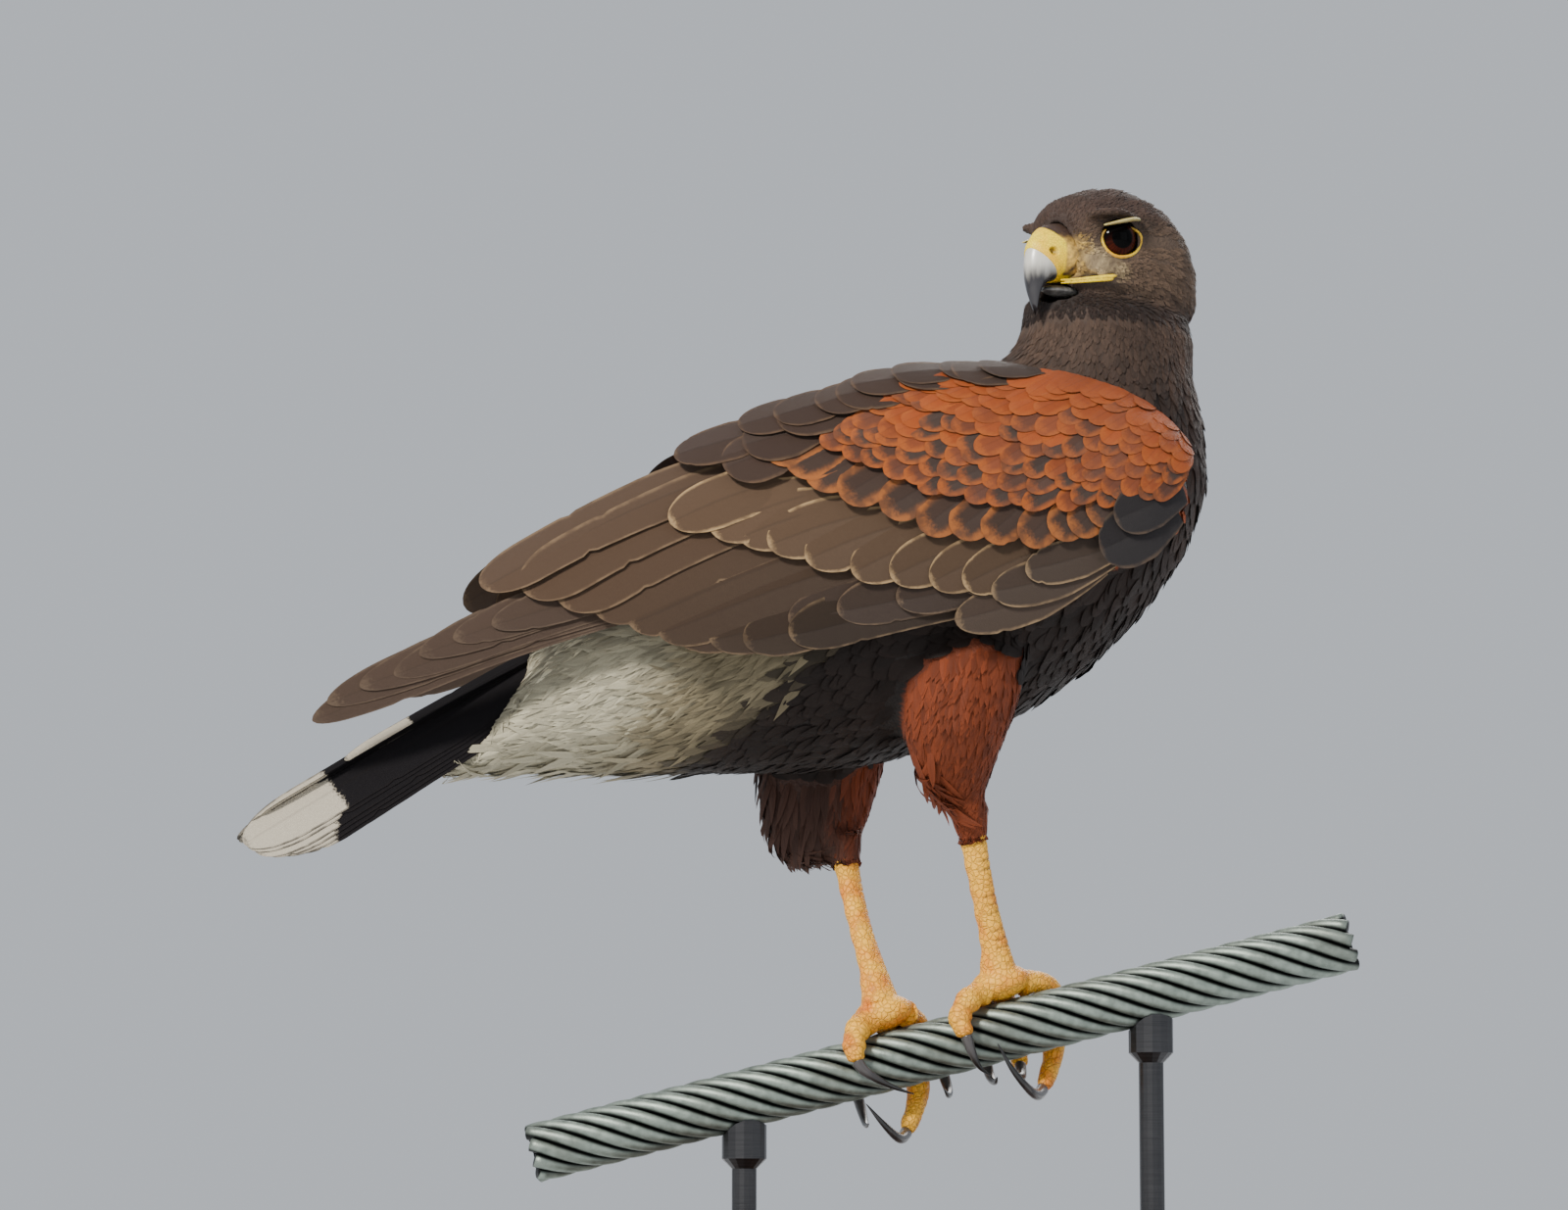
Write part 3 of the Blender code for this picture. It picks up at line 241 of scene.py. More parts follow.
def fetch(items: object, key: str, width: int = 3, kind: type = float) -> Array:
    """Reads one property of all of a mesh's items, as rows.

    Args:
        items: Corners, edges or loops of a mesh.
        key: The property's name.
        width: Numbers in a row.
        kind: The numbers' type.

    Returns:
        One row for each item.
    """
    values = np.empty(len(items) * width, kind)
    items.foreach_get(key, values)
    return values.reshape(-1, width)


def corners(made: Thing) -> Array:
    """A piece's corners, in the bird's frame."""
    return STANCE.to_bird(fetch(made.data.vertices, "co"))


def polygons(made: Thing) -> list[tuple]:
    """A piece's faces, as corner numbers."""
    return [tuple(face.vertices) for face in made.data.polygons]


def solid_tree(made: Thing) -> BVHTree:
    """A search tree over a piece's surface, in the bird's frame."""
    return BVHTree.FromPolygons(corners(made).tolist(), polygons(made))


def point_tree(points: Array) -> KDTree:
    """A search tree over places.

    Args:
        points: The places, as rows.

    Returns:
        The tree.
    """
    tree = KDTree(len(points))
    for i, point in enumerate(points.tolist()):
        tree.insert(point, i)
    tree.balance()
    return tree


def gather(forms: list[tuple[Array, list]]) -> tuple[Array, list]:
    """Puts forms, each of points and faces, in one list of points and one of faces.

    Args:
        forms: Pairs of points and faces.

    Returns:
        All the points and all the faces.
    """
    faces, start = [], 0
    for points, own in forms:
        faces += [tuple(corner + start for corner in face) for face in own]
        start += len(points)
    return np.vstack([points for points, _ in forms]), faces


def join_voxels(made: Thing, voxel: float) -> None:
    """Turns the closed forms of a mesh into one even surface.

    Args:
        made: The object.
        voxel: The fineness of the surface.
    """
    remesh = made.modifiers.new("join", "REMESH")
    remesh.mode = "VOXEL"
    remesh.voxel_size = voxel * MM
    mesh = bpy.data.meshes.new_from_object(made.evaluated_get(bpy.context.evaluated_depsgraph_get()))
    made.modifiers.clear()
    made.data = mesh


def relax(made: Thing, shares: tuple, weight: Array | float = 1.0) -> None:
    """Evens out a surface, by moving points to the middle of their neighbours.

    Args:
        made: The object.
        shares: Shares of the way, one after the other; a pair of signs keeps the size.
        weight: How much each point takes part.
    """
    place = fetch(made.data.vertices, "co")
    count = len(place)
    a, b = fetch(made.data.edges, "vertices", 2, np.int32).T
    ends, others = np.concatenate([a, b]), np.concatenate([b, a])
    degree = np.maximum(np.bincount(ends, minlength=count), 1)[:, None]
    for share in shares:
        near = np.stack([np.bincount(ends, place[others, k], count) for k in range(3)], axis=-1)
        place += share * weight * (near / degree - place)
    made.data.vertices.foreach_set("co", place.ravel())
    made.data.update()


def push(made: Thing, distance: Array) -> None:
    """Moves the points of a mesh out of its surface, by millimetres.

    Args:
        made: The object.
        distance: How far each point moves.
    """
    place, normal = (fetch(made.data.vertices, key) for key in ("co", "normal"))
    made.data.vertices.foreach_set("co", (place + normal * distance[:, None] * MM).ravel())
    made.data.update()


def fuse(name: str, forms: list[Thing], creases: list[Array], voxel: float) -> Thing:
    """Joins closed forms in one skin, which keeps their creases.

    Args:
        name: The skin's name.
        forms: The closed forms, which are used up.
        creases: How deep in a crease each of their corners lies, form by form.
        voxel: The fineness of the skin.

    Returns:
        The skin.
    """
    points, faces = gather([(corners(form), polygons(form)) for form in forms])
    for form in forms:
        bpy.data.objects.remove(form)
    made = mesh_object(name, points, faces)
    join_voxels(made, voxel)
    relax(made, EVEN_OUT * 2)
    tree = point_tree(points)
    nearest = [tree.find(place)[1] for place in corners(made).tolist()]
    # the forms' painted shade in creases, carried over to the joined skin
    paint_points(made, "crease", np.concatenate(creases)[nearest])
    made.data.shade_smooth()
    return made


def paint_points(made: Thing, name: str, values: Array) -> None:
    """Keeps a colour (rows of four) or a number for each corner of a mesh under a name.

    Args:
        made: The object.
        name: The name.
        values: One colour or number for each corner.
    """
    kind, key = ("FLOAT_COLOR", "color") if values.ndim == 2 else ("FLOAT", "value")
    layer = made.data.attributes.new(name, kind, "POINT")
    layer.data.foreach_set(key, np.ascontiguousarray(values, np.float32).ravel())


def map_points(made: Thing, name: str, places: Array) -> None:
    """Adds a UV map from one place for each corner of a mesh.

    Args:
        made: The object.
        name: The map's name.
        places: Places on the map, as rows.
    """
    corner = fetch(made.data.loops, "vertex_index", 1, np.int32)[:, 0]
    layer = made.data.uv_layers.new(name=name)
    layer.data.foreach_set("uv", np.ascontiguousarray(places[corner], np.float32).ravel())


def grid_faces(rows: int, columns: int, closed: bool = False) -> Array:
    """Four-cornered faces of a grid of points.

    Args:
        rows: Rows of points.
        columns: Points in each row.
        closed: Whether each row joins up with its own start.

    Returns:
        Corner numbers, four to a row.
    """
    i, j = np.meshgrid(np.arange(rows - 1), np.arange(columns if closed else columns - 1), indexing="ij")
    row, k = i * columns, (j + 1) % columns
    return np.stack([row + j, row + k, row + columns + k, row + columns + j], axis=-1).reshape(-1, 4)


def ring_form(rings: Array, start: Array | None = None, end: Array | None = None) -> tuple[Array, list]:
    """Points and faces of a closed form through rings of points.

    Args:
        rings: Array of rings, points and coordinates.
        start: The point that closes the first ring, which is its middle unless told.
        end: The point that closes the last ring, which is its middle unless told.

    Returns:
        Points, with the two closing ones last, and faces.
    """
    count, sides = rings.shape[:2]
    start = rings[0].mean(axis=0) if start is None else start
    end = rings[-1].mean(axis=0) if end is None else end
    points = np.vstack([rings.reshape(-1, 3), [start], [end]])
    faces = grid_faces(count, sides, closed=True).tolist()
    last = (count - 1) * sides
    for i in range(sides):
        j = (i + 1) % sides
        faces += [(j, i, len(points) - 2), (last + i, last + j, len(points) - 1)]
    first = points[list(faces[0])]
    normal = np.cross(first[1] - first[0], first[2] - first[1])
    core = rings[:2].mean(axis=(0, 1))
    if normal @ (first.mean(axis=0) - core) < 0:
        faces = [tuple(face)[::-1] for face in faces]
    return points, faces


def ring_solid(name: str, rings: Array, start: Array | None = None, end: Array | None = None) -> Thing:
    """A piece made of one closed form through rings of points."""
    return mesh_object(name, *ring_form(rings, start, end))


def limb_rings(path: Array, radii: Array, sides: int, flat: float = 1.0,
               up: tuple = (0.0, 0.0, 1.0)) -> Array:
    """Rings round a path that don't twist.

    Args:
        path: Middle of each ring.
        radii: Radius of each ring.
        sides: Points in a ring.
        flat: Width of a ring against its height.
        up: A direction across the path's start that the rings' tops face.

    Returns:
        Array of rings, points and coordinates.
    """
    path, radii = np.asarray(path, float), np.asarray(radii, float)
    ahead = unit(np.gradient(path, axis=0))
    over = np.asarray(up, float)
    turn = full_turn(sides)[:, None]
    rings = []
    for place, radius, way in zip(path, radii, ahead):
        over = unit(over - way * (over @ way))
        across = np.cross(way, over)
        rings.append(place + radius * (np.cos(turn) * over + flat * np.sin(turn) * across))
    return np.array(rings)


def dress(piece: Thing, look: bpy.types.Material, slot: str, *nodes: str) -> Thing:
    """Gives a piece its finish, puts it under the root body and hides the solids that it stands for.

    Args:
        piece: The piece.
        look: Its material.
        slot: Not used.
        nodes: The solids that the piece stands for.

    Returns:
        The piece.
    """
    piece.data.materials.append(look)
    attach(piece, "root")
    if nodes:
        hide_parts(*nodes)
    return piece


class Shader:
    """Short ways to add and join the nodes of one material."""

    def __init__(self, name: str, colour: Array, roughness: float) -> None:
        """Starts a material with a plain surface.

        Args:
            name: The material's name.
            colour: Its plain colour.
            roughness: Its roughness.
        """
        self.material = bpy.data.materials.new(name)
        self.material.use_nodes = True
        self.tree = self.material.node_tree
        self.surface = self.tree.nodes["Principled BSDF"]
        self.surface.inputs["Base Color"].default_value = colour
        self.surface.inputs["Roughness"].default_value = roughness
        self.material.diffuse_color = colour

    def set(self, **values: float) -> None:
        """Sets surface sockets by name, with underscores for spaces."""
        for name, value in values.items():
            self.surface.inputs[name.replace("_", " ")].default_value = value

    def add(self, kind: str, inputs: dict | None = None, **settings: object) -> bpy.types.Node:
        """Adds a node.

        Args:
            kind: The node's type without its prefix.
            inputs: Values or sockets for its inputs, by name or number.
            settings: Attributes of the node.

        Returns:
            The node.
        """
        node = self.tree.nodes.new(f"ShaderNode{kind}")
        for name, value in settings.items():
            setattr(node, name, value)
        for name, value in (inputs or {}).items():
            if isinstance(value, Socket):
                self.tree.links.new(value, node.inputs[name])
            else:
                node.inputs[name].default_value = value
        return node

    def math(self, operation: str, first: object, second: object = 0.0, third: object = 0.0) -> Socket:
        """One sum on sockets or numbers."""
        return self.add("Math", {0: first, 1: second, 2: third}, operation=operation).outputs[0]

    def line(self, value: Socket, slope: float, start: float) -> Socket:
        """A value times a slope, from a start."""
        return self.math("MULTIPLY_ADD", value, slope, start)

    def grey(self, value: Socket) -> Socket:
        """A value as a shade of grey."""
        return self.add("CombineColor", {0: value, 1: value, 2: value}).outputs[0]

    def stretched(self, scale: tuple, uv_map: str = "") -> Socket:
        """Places stretched along axes, in metres or on a map of the mesh.

        Args:
            scale: The stretch along each axis.
            uv_map: The map, if there is one.

        Returns:
            The places.
        """
        where = self.add("UVMap", uv_map=uv_map) if uv_map else self.add("TexCoord")
        where = where.outputs["UV" if uv_map else "Object"]
        return self.add("Mapping", {"Vector": where, "Scale": scale}).outputs[0]

    def step(self, value: Socket, low: float, high: float) -> Socket:
        """Eased 0 to 1 as a value goes from low to high."""
        inputs = {"Value": value, "From Min": low, "From Max": high}
        return self.add("MapRange", inputs, interpolation_type="SMOOTHSTEP").outputs[0]

    def mix(self, share: object, first: object, second: object, blend: str = "MIX") -> Socket:
        """A mix of two colours."""
        node = self.add("Mix", {0: share, 6: first, 7: second}, data_type="RGBA", blend_type=blend)
        return node.outputs[2]

    def point(self, name: str) -> bpy.types.Node:
        """Reads what a mesh keeps under a name."""
        return self.add("Attribute", attribute_name=name)

    def noise(self, scale: float, detail: float = 3.0, where: Socket | None = None) -> Socket:
        """Uneven values from 0 to 1, in metres unless told where."""
        where = where or self.add("TexCoord").outputs["Object"]
        return self.add("TexNoise", {"Vector": where, "Scale": scale, "Detail": detail}).outputs["Fac"]

    def bump(self, height: Socket, strength: float, distance: float) -> None:
        """Roughens the surface by a height."""
        inputs = {"Height": height, "Strength": strength, "Distance": distance}
        self.tree.links.new(self.add("Bump", inputs).outputs[0], self.surface.inputs["Normal"])

    def colour(self, socket: Socket) -> None:
        """Gives the surface its colour."""
        self.tree.links.new(socket, self.surface.inputs["Base Color"])

    def rough(self, socket: Socket) -> None:
        """Gives the surface its roughness."""
        self.tree.links.new(socket, self.surface.inputs["Roughness"])


@dataclass(frozen=True)
class VaneFinish:
    """Feathers: each has its own pigment, a fringe, a shaft and fine barbs."""

    name: str
    roughness: float = 0.62
    barb: float = 0.35
    shaft: float = 0.5
    sheen: float = 0.03
    gloss: float = 0.22
    banded: bool = False
    edge: float = 0.66
    tip: float = 0.86

    def material(self) -> bpy.types.Material:
        """Builds the material from the pigment, fringe and vane maps of the feathers.

        Returns:
            The material.
        """
        s = Shader(self.name, tint(90, 70, 60), self.roughness)
        s.set(Sheen_Weight=self.sheen, Sheen_Roughness=0.5, Specular_IOR_Level=self.gloss)
        place = s.add("SeparateXYZ", {0: s.add("UVMap", uv_map="vane").outputs[0]})
        barbs = s.add("SeparateXYZ", {0: s.add("UVMap", uv_map="barbs").outputs[0]})
        across = s.math("ABSOLUTE", s.line(place.outputs[0], 2.0, -1.0))
        grain = s.noise(900.0, 2.0)
        ragged = s.math("MULTIPLY", s.line(grain, 0.16, -0.08), 2.0 * (1 - self.edge))
        edge = s.step(s.math("ADD", across, ragged), self.edge, 1 - (1 - self.edge) * 0.25)
        tip = s.step(s.math("ADD", place.outputs[1], ragged), self.tip, 1 - (1 - self.tip) * 0.2)
        fringe = s.point("fringe")
        worn = s.line(s.step(s.noise(160.0, 2.0), 0.35, 0.6), 0.65, 0.35)
        strength = s.math("MULTIPLY", worn, fringe.outputs["Alpha"])
        share = s.math("MULTIPLY", s.math("MAXIMUM", edge, tip), strength)
        base = s.mix(share, s.point("pigment").outputs["Color"], fringe.outputs["Color"])
        if self.banded:
            line = s.math("ADD", s.point("band").outputs["Fac"], s.line(grain, 0.5, -0.25))
            white = s.mix(s.math("MULTIPLY", share, 1.3), tint(184, 175, 158), base)
            base = s.mix(s.step(line, -0.12, 0.12), base, white)
        wave = s.math("SINE", s.math("MULTIPLY", barbs.outputs[0], 260.0))
        streak = s.noise(1.0, 2.0, s.stretched((60.0, 9.0, 1.0), "barbs"))
        shade = s.math("ADD", s.line(streak, 0.55, 0.72), s.math("MULTIPLY", wave, 0.05 * self.barb))
        base = s.mix(1.0, base, s.grey(shade), "MULTIPLY")
        shaft = s.math("SUBTRACT", 1.0, s.step(across, 0.02, 0.075))
        dark = s.mix(0.5, base, (0.012, 0.008, 0.006, 1.0))
        s.colour(s.mix(s.math("MULTIPLY", shaft, self.shaft), base, dark))
        s.bump(s.math("ADD", s.math("MULTIPLY", wave, 0.35), streak), self.barb, 0.0004)
        return s.material


@dataclass(frozen=True)
class SkinFinish:
    """The skin under the coat, with the coat's own markings and a downy grain."""

    name: str = "plumage skin"

    def material(self) -> bpy.types.Material:
        """Builds the material from the markings that the skin keeps.

        Returns:
            The material.
        """
        s = Shader(self.name, tint(80, 62, 52), 0.85)
        grain = s.noise(700.0, 3.0)
        shade = s.grey(s.line(grain, 0.7, 0.45))
        s.colour(s.mix(1.0, s.point("pigment").outputs["Color"], shade, "MULTIPLY"))
        s.bump(grain, 0.6, 0.0012)
        return s.material


@dataclass(frozen=True)
class HideFinish:
    """Bare scaly skin of the legs, cere and lids, with painted shade in its creases."""

    name: str
    base: tuple
    deep: tuple
    scale: float = 420.0
    roughness: float = 0.42
    relief: float = 0.45
    fading: bool = False

    def material(self) -> bpy.types.Material:
        """Builds the material from cells for the scales, slow uneven colour and painted shade in creases.

        Returns:
            The material.
        """
        s = Shader(self.name, tint(*self.base), self.roughness)
        s.set(Subsurface_Weight=0.06, Subsurface_Scale=0.002, Specular_IOR_Level=0.35)
        s.surface.inputs["Subsurface Radius"].default_value = (1.0, 0.45, 0.2)
        where = s.add("TexCoord").outputs["Object"]
        cells = s.add("TexVoronoi", {"Vector": where, "Scale": self.scale}, feature="DISTANCE_TO_EDGE")
        seam = s.step(cells.outputs[0], 0.0, 0.16)
        slow = s.noise(90.0, 4.0)
        base = s.mix(s.step(slow, 0.35, 0.75), tint(*self.base), tint(*self.deep))
        base = s.mix(s.line(seam, -0.5, 0.5), base, s.mix(0.6, base, (0.06, 0.03, 0.012, 1.0)))
        # painted shade in creases: nostrils, the mouth line, under the brow, round the lids and between the
        # plates of the legs
        crease = s.point("crease").outputs["Fac"]
        base = s.mix(crease, base, s.mix(0.66, base, (0.06, 0.026, 0.01, 1.0)))
        if self.fading:
            grain = s.grey(s.line(s.noise(900.0, 4.0), 1.5, 0.35))
            down = s.mix(1.0, s.point("pigment").outputs["Color"], grain, "MULTIPLY")
            share = s.math("ADD", s.point("fade").outputs["Fac"], s.line(slow, 1.2, -0.6))
            base = s.mix(s.step(share, 0.25, 0.75), base, down)
        s.colour(base)
        s.rough(s.line(s.noise(600.0), 0.25, self.roughness - 0.12))
        s.bump(s.math("ADD", seam, s.noise(1500.0)), self.relief, 0.0004)
        return s.material


@dataclass(frozen=True)
class HornFinish:
    """Polished horn that darkens from root to tip."""

    name: str
    root: tuple
    tip: tuple
    roughness: float = 0.28

    def material(self) -> bpy.types.Material:
        """Builds the material from the share of the way to the tip that the horn keeps.

        Returns:
            The material.
        """
        s = Shader(self.name, tint(*self.root), self.roughness)
        s.set(Coat_Weight=0.25, Coat_Roughness=0.2)
        streak = s.noise(1.0, 4.0, s.stretched((300.0, 300.0, 60.0)))
        way = s.math("ADD", s.point("way").outputs["Fac"], s.line(streak, 0.3, -0.15))
        s.colour(s.mix(s.step(way, 0.28, 0.6), tint(*self.root), tint(*self.tip)))
        s.rough(s.line(streak, 0.2, self.roughness - 0.08))
        s.bump(streak, 0.15, 0.0003)
        return s.material


@dataclass(frozen=True)
class EyeFinish:
    """A wet brown eye: pupil, iris with fine rays, a dark rim and a painted shadow of the brow over its top.
    """

    name: str = "hawk eye"
    pupil: float = 4.6
    iris: float = 7.7

    def material(self) -> bpy.types.Material:
        """Builds the material from the distance to the eye's pole that the eye keeps, in millimetres.

        Returns:
            The material.
        """
        s = Shader(self.name, tint(60, 30, 20), 0.06)
        s.set(Coat_Weight=0.03, Coat_Roughness=0.02, Specular_IOR_Level=0.03)
        polar = s.point("polar").outputs["Fac"]
        ray = s.noise(1.0, 3.0, s.stretched((60.0, 2.0, 1.0), "rays"))
        iris = s.mix(s.step(ray, 0.3, 0.75), tint(30, 9, 5), tint(74, 27, 13))
        rim = s.step(polar, self.iris - 1.4, self.iris)
        base = s.mix(rim, iris, (0.006, 0.004, 0.004, 1.0))
        base = s.mix(s.step(polar, self.pupil - 0.15, self.pupil + 0.25), (0.002, 0.002, 0.002, 1.0), base)
        # painted shadow of the brow darkens the top of the eye
        s.colour(s.mix(s.point("brow_shadow").outputs["Fac"], base, (0.002, 0.0015, 0.0015, 1.0)))
        return s.material


@dataclass(frozen=True)
class WireFinish:
    """Weathered galvanised wire."""

    name: str = "galvanised wire"

    def material(self) -> bpy.types.Material:
        """Builds the material from spangle, grime, fine drawing lines and painted shade in the grooves
        between the wires.

        Returns:
            The material.
        """
        s = Shader(self.name, tint(150, 158, 154), 0.5)
        s.set(Metallic=0.75)
        spangle = s.noise(260.0, 5.0)
        grime = s.step(s.noise(45.0, 5.0), 0.45, 0.75)
        base = s.mix(spangle, tint(84, 94, 88), tint(172, 184, 174))
        base = s.mix(s.math("MULTIPLY", grime, 0.45), base, tint(92, 92, 84))
        # painted shade in the grooves between the wires
        groove = s.step(s.point("groove").outputs["Fac"], 0.35, 1.7)
        s.colour(s.mix(groove, base, tint(22, 25, 24)))
        s.rough(s.line(spangle, 0.3, 0.36))
        s.bump(s.noise(1400.0, 3.0), 0.25, 0.0003)
        return s.material


@dataclass(frozen=True)
class MetalFinish:
    """Dark satin metal of the rods."""

    name: str = "dark satin metal"

    def material(self) -> bpy.types.Material:
        """Builds the material from fine turning lines.

        Returns:
            The material.
        """
        s = Shader(self.name, tint(62, 62, 64), 0.34)
        s.set(Metallic=0.9)
        lines = s.noise(1.0, 2.0, s.stretched((60.0, 60.0, 2600.0)))
        s.colour(s.mix(lines, tint(52, 52, 54), tint(78, 78, 80)))
        s.rough(s.line(lines, 0.2, 0.26))
        s.bump(lines, 0.12, 0.0002)
        return s.material


@dataclass(frozen=True)
class WoodFinish:
    """Dark stained wood with long grain."""

    name: str = "dark stained wood"

    def material(self) -> bpy.types.Material:
        """Builds the material from rings stretched along the base.

        Returns:
            The material.
        """
        s = Shader(self.name, tint(84, 54, 36), 0.4)
        s.set(Coat_Weight=0.25, Coat_Roughness=0.25)
        sway = s.noise(1.6, 4.0, s.stretched((3.0, 26.0, 26.0)))
        rings = s.math("SINE", s.math("MULTIPLY", sway, 46.0))
        pores = s.noise(1.0, 3.0, s.stretched((90.0, 1900.0, 1900.0)))
        base = s.mix(s.step(rings, -1.0, 1.0), tint(58, 36, 24), tint(104, 68, 44))
        s.colour(s.mix(s.step(pores, 0.62, 0.75), base, tint(34, 21, 14)))
        s.rough(s.line(pores, 0.2, 0.32))
        s.bump(pores, 0.12, 0.0003)
        return s.material


@dataclass(frozen=True)
class FloorFinish:
    """Plain pale floor."""

    name: str = "pale floor"

    def material(self) -> bpy.types.Material:
        """Builds the material with a faint unevenness.

        Returns:
            The material.
        """
        s = Shader(self.name, tint(214, 216, 219), 0.8)
        s.colour(s.mix(s.noise(2.0, 3.0), tint(211, 213, 216), tint(219, 221, 223)))
        s.bump(s.noise(300.0), 0.02, 0.0002)
        return s.material


class Part(Enum):
    """Parts of the body that the coat tells apart."""

    TORSO = 0
    NECK = 1
    HEAD = 2
    THIGH = 3
    ARM = 4
    RUMP = 5

    def among(self, label: Array) -> Array:
        """Which of the places belong to this part."""
        return label == self.value


@dataclass(frozen=True)
class HeadPose:
    """The head's own frame: x along the bill, z up from the line through the eyes."""

    place: tuple = (61.0, -5.0, 331.0)
    yaw: float = math.radians(-150.0)
    pitch: float = math.radians(4.0)
    eye: tuple = (1.0, 20.8, 0.0)
    eye_turn: float = math.radians(20.0)

    def turn(self) -> Array:
        """The turn from the head's frame to the bird's.

        Returns:
            The turn as three rows.
        """
        cy, sy, cp, sp = math.cos(self.yaw), math.sin(self.yaw), math.cos(self.pitch), math.sin(self.pitch)
        yaw = np.array([[cy, -sy, 0], [sy, cy, 0], [0, 0, 1.0]])
        return yaw @ np.array([[cp, 0, sp], [0, 1.0, 0], [-sp, 0, cp]])

    def to_bird(self, points: Array) -> Array:
        """Places on the head, in the bird's frame."""
        return np.asarray(points, float) @ self.turn().T + np.array(self.place)

    def to_head(self, points: Array) -> Array:
        """Places in the bird's frame, on the head."""
        return (np.asarray(points, float) - np.array(self.place)) @ self.turn()

    def eye_axes(self, side: int) -> tuple[Array, Array, Array, Array]:
        """An eye's middle, and its directions out of the head, forward along the lids and up.

        Args:
            side: 1 for the left eye and -1 for the right.

        Returns:
            The middle and three directions.
        """
        out = np.array([math.sin(self.eye_turn), side * math.cos(self.eye_turn), 0.0])
        ahead = np.array([math.cos(self.eye_turn), -side * math.sin(self.eye_turn), 0.0])
        place = np.array([self.eye[0], side * self.eye[1], self.eye[2]])
        return place, out, ahead, np.array([0.0, 0.0, 1.0])

    def from_eyes(self, on_head: Array, shift: tuple = (0, 0, 0)) -> Array:
        """Distances from places on the head to the nearer eye, or to a spot beside it."""
        eyes = [self.eye_axes(side)[0] + shift for side in SIDES.values()]
        return np.minimum(*(np.linalg.norm(on_head - eye, axis=1) for eye in eyes))

    def solid(self, name: str, rings: Array, start: Array | None = None, end: Array | None = None) -> Thing:
        """A piece made of one closed form through rings of points on the head.

        Args:
            name: The piece's name.
            rings: Array of rings, points and coordinates.
            start: The point that closes the first ring, which is its middle unless told.
            end: The point that closes the last ring, which is its middle unless told.

        Returns:
            The piece.
        """
        start = rings[0].mean(axis=0) if start is None else start
        end = rings[-1].mean(axis=0) if end is None else end
        return ring_solid(name, *(self.to_bird(part) for part in (rings, start, end)))


HEAD = HeadPose()


@dataclass(frozen=True)
class WingSurface:
    """The outer surface of a folded wing: back line, widest line and half width along the body."""

    x: tuple = (-262, -230, -190, -150, -110, -70, -30, 10, 50, 75, 92, 104)
    top: tuple = (150, 165, 192, 220, 246, 267, 279, 282, 278, 269, 256, 240)
    mid: tuple = (130, 140, 155, 168, 179, 190, 203, 214, 222, 223, 220, 214)
    half: tuple = (17, 24, 34, 45, 55, 62, 66, 68, 67, 63, 55, 40)
    tuck: float = 0.0035
    power: float = 2.3
    limit: float = 0.985

    def depth(self, x: Array, z: Array) -> Array:
        """How far the surface lies from the body's middle plane.

        Args:
            x: Places along the body.
            z: Heights.

        Returns:
            The distances.
        """
        top, mid, half = (read(self.x, line, x) for line in (self.top, self.mid, self.half))
        rise = np.clip((z - mid) / (top - mid), 0.0, self.limit)
        above = half * (1 - rise**self.power) ** (1 / self.power)
        return np.where(z < mid, half - self.tuck * (mid - z) ** 2, above)

    def point(self, x: Array, z: Array, lift: Array, side: int) -> tuple[Array, Array]:
        """Places over the surface.

        Args:
            x: Places along the body.
            z: Heights.
            lift: How far out of the surface.
            side: 1 for the left wing and -1 for the right.

        Returns:
            The places and the directions out of the surface, as rows.
        """
        x, z = np.asarray(x, float), np.asarray(z, float)
        top, mid = read(self.x, self.top, x), read(self.x, self.mid, x)
        z = np.minimum(z, mid + (top - mid) * self.limit)
        reach = 1.5
        slope_x = (self.depth(x + reach, z) - self.depth(x - reach, z)) / (2 * reach)
        slope_z = (self.depth(x, z + reach) - self.depth(x, z - reach)) / (2 * reach)
        out = unit(np.stack([-slope_x, np.full_like(x, side), -slope_z], axis=-1))
        place = np.stack([x, side * self.depth(x, z), z], axis=-1)
        return place + np.asarray(lift)[..., None] * out, out


WING = WingSurface()


